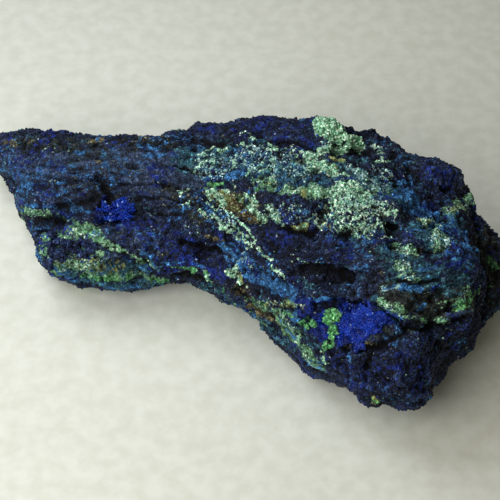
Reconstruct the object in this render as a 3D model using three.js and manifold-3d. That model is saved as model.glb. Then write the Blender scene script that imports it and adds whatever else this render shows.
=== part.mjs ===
// A hand specimen of azurite and malachite grown through brown iron-stained rock: one natural lump,
// shaped like a short bent club and resting on its own low places.
// Units are millimetres and +Z is up. +X runs along the lump from its narrow arm to its broad body,
// and the side that shows the open hollows faces -Y.
import * as THREE from "three";
import { ConvexGeometry } from "three/addons/geometries/ConvexGeometry.js";
import { ImprovedNoise } from "three/addons/math/ImprovedNoise.js";
import { MarchingCubes } from "three/addons/objects/MarchingCubes.js";
import { mergeVertices } from "three/addons/utils/BufferGeometryUtils.js";
import Module from "manifold-3d";

const wasm = await Module();
wasm.setup();

// The lump's girth along its length: where the front, back, base and top of its section lie.
const SECTIONS = [
  { x: -70, front: 32, back: 41, base: 6, top: 12.5 },
  { x: -65.5, front: 29, back: 40.5, base: 4, top: 15 },
  { x: -62, front: 22, back: 38.8, base: 1, top: 18 },
  { x: -55, front: 5.5, back: 39, base: 0, top: 21.5 },
  { x: -50, front: -3.5, back: 38, base: 0, top: 22.7 },
  { x: -45, front: -7, back: 36.8, base: 0, top: 24 },
  { x: -32, front: -8, back: 35.3, base: 0.5, top: 26 },
  { x: -20, front: -8.6, back: 34, base: 2.5, top: 25.5 },
  { x: -8, front: -12.8, back: 35.5, base: 3, top: 28 },
  { x: 4, front: -22, back: 36.5, base: 1, top: 33 },
  { x: 16, front: -35.5, back: 30, base: 0, top: 37.5 },
  { x: 28, front: -42.5, back: 27.5, base: 0, top: 38.5 },
  { x: 37, front: -48.5, back: 18, base: 0, top: 38 },
  { x: 43, front: -37.8, back: 14.5, base: 0, top: 36.5 },
  { x: 48, front: -33.2, back: 12.5, base: 0, top: 35.5 },
  { x: 52, front: -29.5, back: 9, base: 1, top: 33 },
  { x: 57, front: -20.3, back: 2, base: 3, top: 28 },
  { x: 62, front: -16, back: 0, base: 6, top: 22 },
  { x: 67, front: -15, back: 0, base: 9, top: 18 },
];
const SECTION_POWER = 2.6; // 2 gives an oval section, more gives a squarer one
const LEAN = 0.1; // how far a section's top leans back for each millimetre of height
const LEFT_END = -69.5;
const RIGHT_END = 67;
const END_ROUNDING = 5;
const WORN_HEIGHT = 0.9; // the lowest bulges are worn flat up to this height

// The rock's roughness. The layers run along +X and dip towards the front.
const SWELL = { size: 17, height: 1.7 };
const KNOBS = { size: 8, height: 2, offset: 31 };
const LAYERS = { length: 24, thickness: 4.6, height: 1.9, across: [0.08, 0.72, 0.68], offset: 7 };
// How far the outlines of lobes and hollows wander. The offsets keep the three directions unlike.
const WANDER = { size: 9, reach: 1.3, offsets: [11, 23, 37] };

// How wide the rounded seam is where each kind of shape meets the rest.
const SEAM = { lobe: 2.5, ridge: 1.5, hollow: 1.2, groove: 1.5 };

const SKIN_CELL = 3.5;
const CRUST_CELL = 1.9;
const CRUST_GAP = 0.4;
const CRUST_THICKNESS = 1;
const KNOB_LIFT = 0.35; // how far a knob's middle stands off the surface, in radii
const DROP_STEPS = 24; // enough to bring nearly any starting point onto the surface
const DROP_STEP = 1; // the longest single step of such a point
const NEAR_ENOUGH = 0.2; // a point further off than this has missed it
const PROBE = 0.05; // half the span over which a slope is measured
const LEAST_REACH = 0.05; // keeps a section's very middle out of a division by zero
const LEAST_SLOPE = 1e-6; // the same for the middle of an ellipsoid
const LEAST_STEEPNESS = 0.25; // keeps a step short where a distance hardly changes
const EVENING_SHARE = 0.5; // how far a corner moves towards its neighbours' middle each round
const KNOB_DETAIL = 1; // how often a knob's twenty faces are divided
const CHANCE = { seed: 20417, step: 16807, range: 2147483647 };
const ROCK_LOOK = { color: 0x1b2a52, roughness: 0.6, metalness: 0 };
const CRUST_ROUGHNESS = 0.3;
const MOST_TRIANGLES = 60000; // room for one skin
const EVENING_ROUNDS = 3;
const SKIN_WELD = 0.01;
const SOLID_WELD = 0.0001;
const FLOOR_CUT = { width: 400, depth: 100 };
const SKIN_CENTRE = [-1, -3, 20];
const SKIN_CELLS = 46;
const SPARE_CELLS = 4; // empty cells kept round a crust

// Lobes that stand out of the lump. `size` is half the reach along, across and outwards.
const LOBES = [
  {
    name: "shelf under the long hollow",
    at: [-32, -3, 20], along: [1, 0, 0], facing: [0, -0.6, 0.8], size: [10, 5, 3.6],
  },
  {
    name: "brown lip",
    at: [-10, -3.5, 24.5], along: [1, -0.2, 0], facing: [-0.3, -0.4, 0.85], size: [4.5, 2, 2.4],
  },
  {
    name: "eye-shaped boss",
    at: [11, -4, 34.5], along: [0.8, 0.3, 0.4], facing: [-0.45, 0, 0.89], size: [7.5, 6.5, 4],
  },
  {
    name: "grained dome",
    at: [26, -6.5, 37.5], along: [1, 0, 0], facing: [-0.05, 0, 1], size: [10, 9, 5],
  },
  {
    name: "back boss",
    at: [47.8, 4.6, 32], along: [1, -0.25, -0.15], facing: [0.3, 0.3, 0.9], size: [7.4, 6, 5],
  },
  {
    name: "upper slab",
    at: [40, -23, 36.5], along: [1, -0.1, -0.2], facing: [0.15, -0.1, 0.97], size: [15, 8, 3.6],
  },
  {
    name: "lower slab",
    at: [43, -30, 31], along: [1, 0, -0.2], facing: [0.2, -0.5, 0.85], size: [12, 5.5, 3.4],
  },
  {
    name: "front block",
    at: [32.5, -40, 21], along: [1, 0, -0.2], facing: [0, -0.9, 0.4], size: [10.5, 11, 7],
  },
  {
    name: "end boss",
    at: [60, -10, 20], along: [0, 0.4, 1], facing: [0.9, -0.3, 0.2], size: [7, 6, 6],
  },
  {
    name: "foot of the tuft",
    at: [20, 16.5, 36.5], along: [1, 0, 0], facing: [0, 0.3, 1], size: [4.4, 4, 3],
  },
  {
    name: "knob below the beads",
    at: [-43, -4.5, 8.5], along: [1, 0, 0], facing: [0, -1, 0], size: [3.5, 3, 3],
  },
  {
    name: "back bulge",
    at: [-14, 32.3, 14], along: [1, 0, 0], facing: [0, 1, 0.1], size: [12, 8, 5],
  },
  {
    name: "back corner",
    at: [24, 24, 18], along: [1, -0.4, 0], facing: [0.3, 0.9, 0.1], size: [11, 10, 6],
  },
];

// Ridges and grooves follow a line laid over the surface.
const RIDGES = [
  {
    name: "back rim",
    line: [
      [-7, 30, 26.5], [4, 29.5, 29.5], [12, 26, 32], [20, 23, 34],
      [28, 20, 36.2], [33, 16.6, 35.6], [38, 10.4, 34],
    ],
    radius: 2.6,
  },
  { name: "band before the tuft", line: [[8, 9, 34.5], [16, 7, 37.5], [24, 8, 38.5]], radius: 1.9 },
  {
    name: "slanting ridge",
    line: [[-11, 4, 26.5], [-4, -1, 28.4], [3, -10, 29.4], [8, -19, 29.6]],
    radius: 1.7,
  },
  { name: "rim under the beads", line: [[-53, 2, 14], [-46, -4.5, 13], [-36, -8, 12.5]], radius: 2 },
];
const GROOVES = [
  {
    name: "long hollow",
    line: [[-47, 7, 23], [-36, 6, 25], [-22, 5.5, 26], [-13, 3.5, 27]],
    radius: 3.3,
  },
  {
    name: "groove behind the band",
    line: [[-10, 25, 28], [0, 23, 32], [10, 18, 36], [21, 14.5, 38.5]],
    radius: 1.9,
  },
  {
    name: "crease under the boss",
    line: [[4, -10, 32.5], [11, -11.5, 35.5], [17, -10, 38.5]],
    radius: 1.7,
  },
  { name: "end crease", line: [[51, 3, 33.5], [55, -13, 31], [58, -18, 22], [56, -22, 13]], radius: 2 },
  { name: "block crease", line: [[26, -41, 32], [27, -43.5, 26], [29, -44.5, 17]], radius: 1.7 },
  { name: "back cleft", line: [[-34, 36, 20], [-27, 37, 13], [-24, 35, 5]], radius: 2 },
  { name: "step across the back", line: [[2, 38, 18], [14, 35, 15], [28, 30, 14]], radius: 2.2 },
];

// Hollows and pits. `size` is half the reach along, across and inwards.
const HOLLOWS = [
  {
    name: "depth of the long hollow",
    at: [-35, 8, 25], along: [1, 0, 0], facing: [0, -0.3, 1], size: [5.5, 5.5, 5.5],
  },
  {
    name: "cave at the left",
    at: [-49.5, 3, 20.5], along: [1, 0, 0.25], facing: [-0.4, -0.5, 0.7], size: [4.6, 2.3, 3.4],
  },
  {
    name: "slot under the lip",
    at: [-12, -7, 22], along: [1, -0.3, 0], facing: [-0.3, -0.6, 0.7], size: [4.6, 2, 3.2],
  },
  {
    name: "cave in the bend",
    at: [-15.5, -10, 14.5], along: [1, -0.1, 0], facing: [-0.2, -1, 0.1], size: [5.2, 2.8, 3.6],
  },
  {
    name: "undercut of the slab",
    at: [17, -23.5, 34], along: [1, -0.4, 0.5], facing: [-0.4, -0.4, 0.8], size: [7, 3, 3.8],
  },
  {
    name: "blue pocket",
    at: [21.5, -35, 31.7], along: [1, -0.35, 0.45], facing: [-0.55, -0.6, 0.58], size: [12, 5.6, 5],
  },
  {
    name: "brown hollow",
    at: [-1.5, -17.5, 19.5], along: [0.6, -0.6, 0.5], facing: [-0.6, -0.75, 0.2], size: [3.6, 2.8, 2.2],
  },
  {
    name: "lower brown hollow",
    at: [3.5, -22, 16], along: [0.6, -0.6, 0], facing: [-0.7, -0.7, 0.1], size: [4, 3, 2.4],
  },
  {
    name: "top pit",
    at: [34, 0, 40.5], along: [1, 0, 0], facing: [0, 0, 1], size: [1.8, 2.6, 3],
  },
  {
    name: "middle pit",
    at: [33, -14, 40.5], along: [1, 0.4, 0], facing: [0, 0, 1], size: [2.8, 2, 3],
  },
  {
    name: "arm pit",
    at: [-51, 27, 23], along: [1, 0, 0], facing: [0, 0, 1], size: [2.4, 2, 2.4],
  },
  {
    name: "notch in the end",
    at: [64, -17, 17], along: [1, 0, 0], facing: [0.5, -0.8, 0.2], size: [5, 2.4, 3.4],
  },
  {
    name: "back pocket",
    at: [-4, 39, 12], along: [1, 0, 0.2], facing: [0, 1, 0], size: [6, 3.6, 3.4],
  },
  {
    name: "back pit",
    at: [38, 20, 24], along: [1, -0.7, 0], facing: [0.5, 0.8, 0.3], size: [3.6, 3, 3],
  },
];

// Where coarse azurite crystals crowd the surface.
const CRYSTAL_PATCHES = [
  { name: "back boss", at: [47.5, 4, 36], spread: 3.5, count: 7, length: 4.2 },
  { name: "back rim, left", at: [1, 28.5, 31], spread: 2.6, count: 4, length: 3.6 },
  { name: "back rim, right", at: [30, 17.5, 37], spread: 2.6, count: 4, length: 3.4 },
  { name: "front block", at: [35.5, -45, 24.5], spread: 4, count: 7, length: 5 },
  { name: "end boss", at: [65, -9, 20], spread: 2.6, count: 4, length: 4 },
  { name: "bend", at: [-21, -6, 21], spread: 2.6, count: 4, length: 3.4 },
  { name: "back", at: [6, 36, 20], spread: 3, count: 4, length: 4.6 },
];

// An azurite crystal's proportions as shares of its length, with its heights taken from its foot.
// Only `edgeWidth` is a share of its width.
const CRYSTAL = {
  width: [0.55, 0.9],
  thickness: [0.3, 0.5],
  sunk: 0.65,
  shoulder: 0.15,
  edge: 0.42,
  edgeWidth: 0.22,
  sizes: [0.75, 1.25],
  slant: 0.6,
};

// Rounded azurite beads in a row along the lower left, and the knobbly malachite tuft on the back rim.
const BEADS = [
  { at: [-49.5, 0, 18], radius: 1.3 },
  { at: [-48.5, -2, 16], radius: 1.5 },
  { at: [-46.5, -3, 17], radius: 1.2 },
  { at: [-44.5, -4, 17.5], radius: 1.5 },
  { at: [-42, -4.5, 17], radius: 1.3 },
  { at: [-39.5, -5.5, 17], radius: 1.5 },
  { at: [-37, -6, 17.5], radius: 1.3 },
];
const TUFT = [
  { at: [16.5, 17, 38], radius: 1.8 },
  { at: [19, 18, 38.5], radius: 2.3 },
  { at: [22, 17, 39], radius: 2.1 },
  { at: [19.5, 14.5, 39.5], radius: 2.1 },
  { at: [17, 13, 39], radius: 1.6 },
  { at: [24.5, 14, 39.5], radius: 2.1 },
  { at: [27, 12, 39.5], radius: 1.7 },
];

// The two hollows that are lined with bright azurite crystals.
const CRUSTS = [
  {
    name: "vug_crystals",
    colour: 0x1424b4,
    region: { at: [-33.5, 5.5, 23.5], along: [1, 0, 0], facing: [0, -0.3, 1], size: [6, 5, 7] },
    patch: { at: [-33.5, 5, 23], spread: 4, count: 11, length: 2.8 },
  },
  {
    name: "pocket_crystals",
    colour: 0x1020a8,
    region: {
      at: [21.5, -34.5, 31.2],
      along: [1, -0.35, 0.45],
      facing: [-0.55, -0.6, 0.58],
      size: [11, 5, 7],
    },
    patch: { at: [21.5, -33.5, 30.2], spread: 7, count: 14, length: 2.8 },
  },
];

const noise = new ImprovedNoise();

// A repeatable source of chance, so that the specimen comes out the same each time.
let seed = CHANCE.seed;
function chance() {
  seed = (seed * CHANCE.step) % CHANCE.range;
  return seed / CHANCE.range;
}
const between = (low, high) => low + (high - low) * chance();
const anyWay = () => new THREE.Vector3(between(-1, 1), between(-1, 1), between(-1, 1));

// Joins and cuts two distances with a rounded seam of width k.
function smoothMax(a, b, k) {
  const h = Math.max(k - Math.abs(a - b), 0) / k;
  return Math.max(a, b) + (h * h * k) / 4;
}
const smoothMin = (a, b, k) => -smoothMax(-a, -b, k);

// The three directions of a lobe or hollow: along it, across it, and the way it faces.
function withAxes(shape) {
  const facing = new THREE.Vector3(...shape.facing).normalize();
  const along = new THREE.Vector3(...shape.along);
  along.addScaledVector(facing, -along.dot(facing)).normalize();
  return { ...shape, axes: [along, new THREE.Vector3().crossVectors(facing, along), facing] };
}

// Distance to an ellipsoid, exact at its surface and close to it nearby.
function ellipsoidDistance(shape, x, y, z) {
  const [dx, dy, dz] = [x - shape.at[0], y - shape.at[1], z - shape.at[2]];
  let scaled = 0;
  let slope = 0;
  shape.axes.forEach((axis, i) => {
    const q = (axis.x * dx + axis.y * dy + axis.z * dz) / shape.size[i];
    scaled += q * q;
    slope += (q / shape.size[i]) ** 2;
  });
  const reach = Math.sqrt(scaled);
  return (reach * (reach - 1)) / Math.max(Math.sqrt(slope), LEAST_SLOPE);
}

// Distance to a rounded line through the given points.
function lineDistance(shape, x, y, z) {
  let nearest = Infinity;
  for (let i = 0; i < shape.line.length - 1; i++) {
    const [a, b] = [shape.line[i], shape.line[i + 1]];
    const d = [b[0] - a[0], b[1] - a[1], b[2] - a[2]];
    const r = [x - a[0], y - a[1], z - a[2]];
    const t = THREE.MathUtils.clamp(
      (r[0] * d[0] + r[1] * d[1] + r[2] * d[2]) / (d[0] * d[0] + d[1] * d[1] + d[2] * d[2]),
      0,
      1,
    );
    nearest = Math.min(nearest, Math.hypot(r[0] - t * d[0], r[1] - t * d[1], r[2] - t * d[2]));
  }
  return nearest - shape.radius;
}

// The section between two of the given ones follows a smooth curve through all of them.
function sectionAt(x) {
  const last = SECTIONS.length - 1;
  let i = 0;
  while (i < last - 1 && x > SECTIONS[i + 1].x) i++;
  const before = SECTIONS[Math.max(i - 1, 0)];
  const from = SECTIONS[i];
  const to = SECTIONS[i + 1];
  const after = SECTIONS[Math.min(i + 2, last)];
  const width = to.x - from.x;
  const t = THREE.MathUtils.clamp((x - from.x) / width, 0, 1);
  const curve = (side) => {
    const slopeIn = ((to[side] - before[side]) / (to.x - before.x)) * width;
    const slopeOut = ((after[side] - from[side]) / (after.x - from.x)) * width;
    return (
      (2 * t ** 3 - 3 * t ** 2 + 1) * from[side] +
      (t ** 3 - 2 * t ** 2 + t) * slopeIn +
      (3 * t ** 2 - 2 * t ** 3) * to[side] +
      (t ** 3 - t ** 2) * slopeOut
    );
  };
  return { front: curve("front"), back: curve("back"), base: curve("base"), top: curve("top") };
}

function bodyDistance(x, y, z) {
  const section = sectionAt(x);
  const halfDepth = (section.back - section.front) / 2;
  const halfHeight = (section.top - section.base) / 2;
  const dz = z - (section.top + section.base) / 2;
  const dy = y - (section.back + section.front) / 2 - LEAN * dz;
  const n = SECTION_POWER;
  const reach = (Math.abs(dy / halfDepth) ** n + Math.abs(dz / halfHeight) ** n) ** (1 / n);
  const across = Math.hypot(dy, dz) * (1 - 1 / Math.max(reach, LEAST_REACH));
  return smoothMax(smoothMax(across, LEFT_END - x, END_ROUNDING), x - RIGHT_END, END_ROUNDING);
}

function roughness(x, y, z) {
  const [ax, ay, az] = LAYERS.across;
  const through = (ax * x + ay * y + az * z) / LAYERS.thickness;
  const within = (az * y - ay * z) / LAYERS.length;
  return (
    SWELL.height * noise.noise(x / SWELL.size, y / SWELL.size, z / SWELL.size) +
    KNOBS.height * noise.noise(x / KNOBS.size + KNOBS.offset, y / KNOBS.size, z / KNOBS.size) +
    LAYERS.height * noise.noise(x / LAYERS.length + LAYERS.offset, through, within)
  );
}

const lobes = LOBES.map(withAxes);
const hollows = HOLLOWS.map(withAxes);

// Distance to the rock's surface: below zero inside it.
function rockDistance(x, y, z) {
  const s = WANDER.size;
  const [offX, offY, offZ] = WANDER.offsets;
  const wx = x + WANDER.reach * noise.noise(x / s, y / s, z / s + offX);
  const wy = y + WANDER.reach * noise.noise(x / s + offY, y / s, z / s);
  const wz = z + WANDER.reach * noise.noise(x / s, y / s + offZ, z / s);
  let d = bodyDistance(x, y, z);
  for (const lobe of lobes) d = smoothMin(d, ellipsoidDistance(lobe, wx, wy, wz), SEAM.lobe);
  for (const ridge of RIDGES) d = smoothMin(d, lineDistance(ridge, wx, wy, wz), SEAM.ridge);
  d -= roughness(x, y, z);
  for (const hollow of hollows) d = smoothMax(d, -ellipsoidDistance(hollow, wx, wy, wz), SEAM.hollow);
  for (const groove of GROOVES) d = smoothMax(d, -lineDistance(groove, wx, wy, wz), SEAM.groove);
  return d;
}

// The direction in which a distance grows fastest, which is straight out of the surface.
function outwards(distance, p) {
  const h = PROBE;
  return new THREE.Vector3(
    distance(p.x + h, p.y, p.z) - distance(p.x - h, p.y, p.z),
    distance(p.x, p.y + h, p.z) - distance(p.x, p.y - h, p.z),
    distance(p.x, p.y, p.z + h) - distance(p.x, p.y, p.z - h),
  ).divideScalar(2 * h);
}

// Slides a point along the steepest way until it lies on the surface.
function dropOnto(distance, p, steps) {
  for (let i = 0; i < steps; i++) {
    const slope = outwards(distance, p);
    const move = -distance(p.x, p.y, p.z) / Math.max(slope.lengthSq(), LEAST_STEEPNESS);
    p.addScaledVector(slope, THREE.MathUtils.clamp(move, -DROP_STEP, DROP_STEP));
  }
  return p;
}

// A closed triangle skin where the distance is zero, inside a cube of cells about a centre.
function skinOf(distance, centre, cell, cells) {
  const cubes = new MarchingCubes(cells, undefined, false, false, MOST_TRIANGLES);
  const half = (cell * cells) / 2;
  cubes.isolation = 0;
  for (let k = 0; k < cells; k++)
    for (let j = 0; j < cells; j++)
      for (let i = 0; i < cells; i++)
        cubes.field[i + j * cells + k * cells * cells] = -distance(
          centre[0] + i * cell - half,
          centre[1] + j * cell - half,
          centre[2] + k * cell - half,
        );
  cubes.update();
  const corners = new THREE.BufferAttribute(cubes.positionArray.slice(0, cubes.count * 3), 3);
  const skin = new THREE.BufferGeometry().setAttribute("position", corners);
  skin.scale(half, half, half).translate(...centre);
  return mergeVertices(skin, SKIN_WELD);
}

// Spreads a skin's corners evenly, keeping them on the surface.
function evenOut(skin, distance, rounds) {
  const place = skin.attributes.position;
  const neighbours = Array.from({ length: place.count }, () => new Set());
  const corners = skin.index.array;
  for (let i = 0; i < corners.length; i += 3)
    for (const [a, b] of [[0, 1], [1, 2], [2, 0]]) {
      if (corners[i + a] === corners[i + b]) continue;
      neighbours[corners[i + a]].add(corners[i + b]);
      neighbours[corners[i + b]].add(corners[i + a]);
    }
  const p = new THREE.Vector3();
  const q = new THREE.Vector3();
  for (let round = 0; round < rounds; round++)
    neighbours.forEach((near, v) => {
      if (!near.size) return;
      p.fromBufferAttribute(place, v);
      const middle = new THREE.Vector3();
      for (const n of near) middle.add(q.fromBufferAttribute(place, n));
      p.lerp(middle.divideScalar(near.size), EVENING_SHARE);
      dropOnto(distance, p, 1);
      place.setXYZ(v, p.x, p.y, p.z);
    });
  return skin;
}

// The same skin with every corner moved straight out by a distance.
function swollen(geometry, distance) {
  const grown = geometry.clone();
  grown.computeVertexNormals();
  const { position, normal } = grown.attributes;
  for (let v = 0; v < position.count; v++)
    position.setXYZ(
      v,
      position.getX(v) + distance * normal.getX(v),
      position.getY(v) + distance * normal.getY(v),
      position.getZ(v) + distance * normal.getZ(v),
    );
  return grown;
}

// Turns a geometry into a solid that can be joined and cut.
function solidOf(geometry) {
  const plain = new THREE.BufferGeometry().setAttribute("position", geometry.attributes.position.clone());
  if (geometry.index) plain.setIndex(geometry.index.clone());
  const merged = mergeVertices(plain, SOLID_WELD);
  const corners = [...merged.index.array];
  const kept = [];
  for (let i = 0; i < corners.length; i += 3) {
    const [a, b, c] = corners.slice(i, i + 3);
    if (a !== b && b !== c && c !== a) kept.push(a, b, c);
  }
  return new wasm.Manifold(
    new wasm.Mesh({
      numProp: 3,
      vertProperties: merged.attributes.position.array,
      triVerts: new Uint32Array(kept),
    }),
  );
}

function geometryOf(solid) {
  const mesh = solid.getMesh();
  return new THREE.BufferGeometry()
    .setAttribute("position", new THREE.BufferAttribute(new Float32Array(mesh.vertProperties), mesh.numProp))
    .setIndex([...mesh.triVerts]);
}

// The one main body of a solid, without any loose chips.
function withoutChips(solid) {
  return solid.decompose().reduce((most, body) => (body.volume() > most.volume() ? body : most));
}

// One azurite crystal: a short tablet with a slanting shoulder and a chisel edge, sunk over half its length.
function crystal(length) {
  const width = length * between(...CRYSTAL.width);
  const thickness = length * between(...CRYSTAL.thickness);
  const corners = [];
  for (const side of [-1, 1]) {
    for (const face of [-1, 1]) {
      corners.push(new THREE.Vector3((side * width) / 2, (face * thickness) / 2, -length * CRYSTAL.sunk));
      corners.push(new THREE.Vector3((side * width) / 2, (face * thickness) / 2, length * CRYSTAL.shoulder));
    }
    corners.push(new THREE.Vector3(side * width * CRYSTAL.edgeWidth, 0, length * CRYSTAL.edge));
  }
  return new ConvexGeometry(corners);
}

// Crystals scattered round a place, each standing on the surface at its own slant.
function crystalPatch(patch, distance) {
  const solids = [];
  for (let i = 0; i < patch.count; i++) {
    const foot = anyWay()
      .multiplyScalar(patch.spread)
      .add(new THREE.Vector3(...patch.at));
    dropOnto(distance, foot, DROP_STEPS);
    if (Math.abs(distance(foot.x, foot.y, foot.z)) > NEAR_ENOUGH) continue;
    const way = outwards(distance, foot).normalize();
    way.add(anyWay().multiplyScalar(CRYSTAL.slant)).normalize();
    const turn = new THREE.Quaternion().setFromUnitVectors(new THREE.Vector3(0, 0, 1), way);
    const made = crystal(patch.length * between(...CRYSTAL.sizes));
    made.rotateZ(between(0, Math.PI)).applyQuaternion(turn).translate(foot.x, foot.y, foot.z);
    solids.push(solidOf(made));
  }
  return solids;
}

// Rounded knobs, each sunk into the surface by a third of its width.
function knobs(list) {
  return list.map(({ at, radius }) => {
    const foot = dropOnto(rockDistance, new THREE.Vector3(...at), DROP_STEPS);
    foot.addScaledVector(outwards(rockDistance, foot).normalize(), radius * KNOB_LIFT);
    const knob = new THREE.IcosahedronGeometry(radius, KNOB_DETAIL).rotateZ(at[0]).rotateX(at[1]);
    return solidOf(knob.translate(foot.x, foot.y, foot.z));
  });
}

// A crust: a slab just off the rock with crystals grown on it, cut off at the edge of its region.
function crustSolid({ region, patch }, grownRock) {
  const shape = withAxes(region);
  const wall = CRUST_GAP + CRUST_THICKNESS;
  const slab = (x, y, z) => Math.max(rockDistance(x, y, z) - wall, ellipsoidDistance(shape, x, y, z));
  const cells = Math.ceil((2 * Math.max(...region.size)) / CRUST_CELL) + 2 * SPARE_CELLS;
  const middle = (x, y, z) => rockDistance(x, y, z) - CRUST_GAP - CRUST_THICKNESS / 2;
  const parts = [solidOf(skinOf(slab, region.at, CRUST_CELL, cells))];
  parts.push(...crystalPatch(patch, middle));
  return withoutChips(wasm.Manifold.union(parts).subtract(grownRock));
}

const skin = evenOut(skinOf(rockDistance, SKIN_CENTRE, SKIN_CELL, SKIN_CELLS), rockDistance, EVENING_ROUNDS);
const crystals = CRYSTAL_PATCHES.flatMap((patch) => crystalPatch(patch, rockDistance));
const belowFloor = new THREE.BoxGeometry(FLOOR_CUT.width, FLOOR_CUT.width, FLOOR_CUT.depth);
belowFloor.translate(0, 0, WORN_HEIGHT - FLOOR_CUT.depth / 2);
const grownTogether = wasm.Manifold.union([solidOf(skin), ...crystals, ...knobs(BEADS), ...knobs(TUFT)]);
const rock = withoutChips(grownTogether.subtract(solidOf(belowFloor)));

const crusts = CRUSTS.map((crust) => crustSolid(crust, solidOf(swollen(skin, CRUST_GAP))));

// The part's origin is the middle of the underside.
const rockGeometry = geometryOf(rock);
rockGeometry.computeBoundingBox();
const { min, max } = rockGeometry.boundingBox;
const toOrigin = [-(min.x + max.x) / 2, -(min.y + max.y) / 2, -min.z];

const specimen = new THREE.Group();
function addNode(name, geometry, look) {
  const mesh = new THREE.Mesh(geometry.translate(...toOrigin), new THREE.MeshStandardMaterial(look));
  mesh.name = name;
  specimen.add(mesh);
}
addNode("rock", rockGeometry, ROCK_LOOK);
crusts.forEach((solid, i) => {
  const look = { color: CRUSTS[i].colour, roughness: CRUST_ROUGHNESS, metalness: 0 };
  addNode(CRUSTS[i].name, geometryOf(solid), look);
});

export default specimen;
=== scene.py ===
import math

import bmesh
import bpy
import numpy as np
from mathutils import Matrix, Vector, kdtree, noise
from mathutils.bvhtree import BVHTree


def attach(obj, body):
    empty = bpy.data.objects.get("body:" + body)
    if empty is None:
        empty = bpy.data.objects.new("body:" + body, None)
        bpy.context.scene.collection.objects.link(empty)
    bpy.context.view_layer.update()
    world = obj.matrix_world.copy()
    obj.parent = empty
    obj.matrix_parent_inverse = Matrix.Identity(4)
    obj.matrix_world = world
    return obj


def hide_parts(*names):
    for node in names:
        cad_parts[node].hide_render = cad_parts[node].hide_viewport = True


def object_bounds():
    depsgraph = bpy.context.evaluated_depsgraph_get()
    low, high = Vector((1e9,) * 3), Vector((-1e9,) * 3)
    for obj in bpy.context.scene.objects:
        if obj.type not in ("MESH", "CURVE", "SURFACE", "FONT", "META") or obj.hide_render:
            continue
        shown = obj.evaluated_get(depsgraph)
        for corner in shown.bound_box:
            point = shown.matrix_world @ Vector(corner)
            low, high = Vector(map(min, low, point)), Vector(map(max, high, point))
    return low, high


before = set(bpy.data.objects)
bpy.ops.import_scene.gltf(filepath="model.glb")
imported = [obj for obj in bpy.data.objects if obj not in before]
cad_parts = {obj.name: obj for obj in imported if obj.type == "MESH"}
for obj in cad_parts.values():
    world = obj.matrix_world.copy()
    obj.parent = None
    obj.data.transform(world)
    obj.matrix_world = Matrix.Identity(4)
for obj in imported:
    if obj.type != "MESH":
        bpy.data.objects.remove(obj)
cad_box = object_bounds()

# The photograph looks down on the specimen from the front through a long lens, and the lump runs a
# little way out of both of its sides. Pixels below are in that frame, 500 by 500, from its top left.
MM = 0.001
PHOTO_SIZE = 500
PIXEL_SPAN = 0.25 * MM
CAMERA_RISE = math.radians(52)
CAMERA_DISTANCE = 380 * MM
CAMERA_AIM = Vector((0.9, 4.25, 13.1)) * MM
FILM_WIDTH = 36.0

sight = Vector((0, math.cos(CAMERA_RISE), -math.sin(CAMERA_RISE)))
sight_up = Vector((0, math.sin(CAMERA_RISE), math.cos(CAMERA_RISE)))
eye = CAMERA_AIM - sight * CAMERA_DISTANCE


def sight_line(u, v):
    """The direction from the eye through a pixel of the photograph."""
    across = Vector((1, 0, 0)) * (u - PHOTO_SIZE / 2) * PIXEL_SPAN
    down = sight_up * (PHOTO_SIZE / 2 - v) * PIXEL_SPAN
    return (sight * CAMERA_DISTANCE + across + down).normalized()


camera_data = bpy.data.cameras.new("camera")
camera_data.sensor_width = FILM_WIDTH
camera_data.lens = FILM_WIDTH * CAMERA_DISTANCE / (PHOTO_SIZE * PIXEL_SPAN)
camera = bpy.data.objects.new("camera", camera_data)
camera.location = eye
camera.rotation_euler = (math.pi / 2 - CAMERA_RISE, 0, 0)
bpy.context.collection.objects.link(camera)
bpy.context.scene.camera = camera
bpy.context.scene.view_settings.view_transform = "Standard"

# The specimen lies on a sheet of pale packing foam, which is kept plain. It is a flat sheet, cut far
# outside the picture, with a faint warm mottle.
FLOOR_HALF = 700 * MM
FOAM_LIGHT = (226, 229, 221)
FOAM_DARK = (216, 219, 209)
FOAM_MOTTLE = 260
FOAM_ROUGHNESS = 0.75


def pigment(red, green, blue):
    """A colour given as it looks on a screen, as the shaders take it."""
    parts = (part / 255 for part in (red, green, blue))
    return tuple(p / 12.92 if p <= 0.04045 else ((p + 0.055) / 1.055) ** 2.4 for p in parts) + (1.0,)


def add_node(tree, kind, inputs=None, **settings):
    """Adds a node whose inputs are numbers, colours or the sockets of other nodes."""
    made = tree.nodes.new(kind)
    for name, value in settings.items():
        setattr(made, name, value)
    for name, value in (inputs or {}).items():
        if isinstance(value, bpy.types.NodeSocket):
            tree.links.new(value, made.inputs[name])
        else:
            made.inputs[name].default_value = value
    return made


def add_math(tree, operation, first, second=0.0, third=0.0, clamp=False):
    """Adds one sum and returns its result."""
    made = add_node(tree, "ShaderNodeMath", {0: first, 1: second, 2: third}, operation=operation)
    made.use_clamp = clamp
    return made.outputs[0]


def add_ramp(tree, factor, stops):
    """Adds a run of colours, each stop a place from 0 to 1 and a colour as it looks on a screen."""
    made = add_node(tree, "ShaderNodeValToRGB", {"Fac": factor})
    elements = made.color_ramp.elements
    while len(elements) < len(stops):
        elements.new(0.5)
    for element, (place, colour) in zip(elements, stops):
        element.position = place
        element.color = pigment(*colour)
    return made.outputs["Color"]


def add_mix(tree, factor, first, second, blend="MIX"):
    """Mixes two colours and returns the result."""
    made = tree.nodes.new("ShaderNodeMix")
    made.data_type = "RGBA"
    made.blend_type = blend
    for socket, value in zip((made.inputs[0], made.inputs[6], made.inputs[7]), (factor, first, second)):
        if isinstance(value, bpy.types.NodeSocket):
            tree.links.new(value, socket)
        else:
            socket.default_value = value
    return made.outputs[2]


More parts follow.
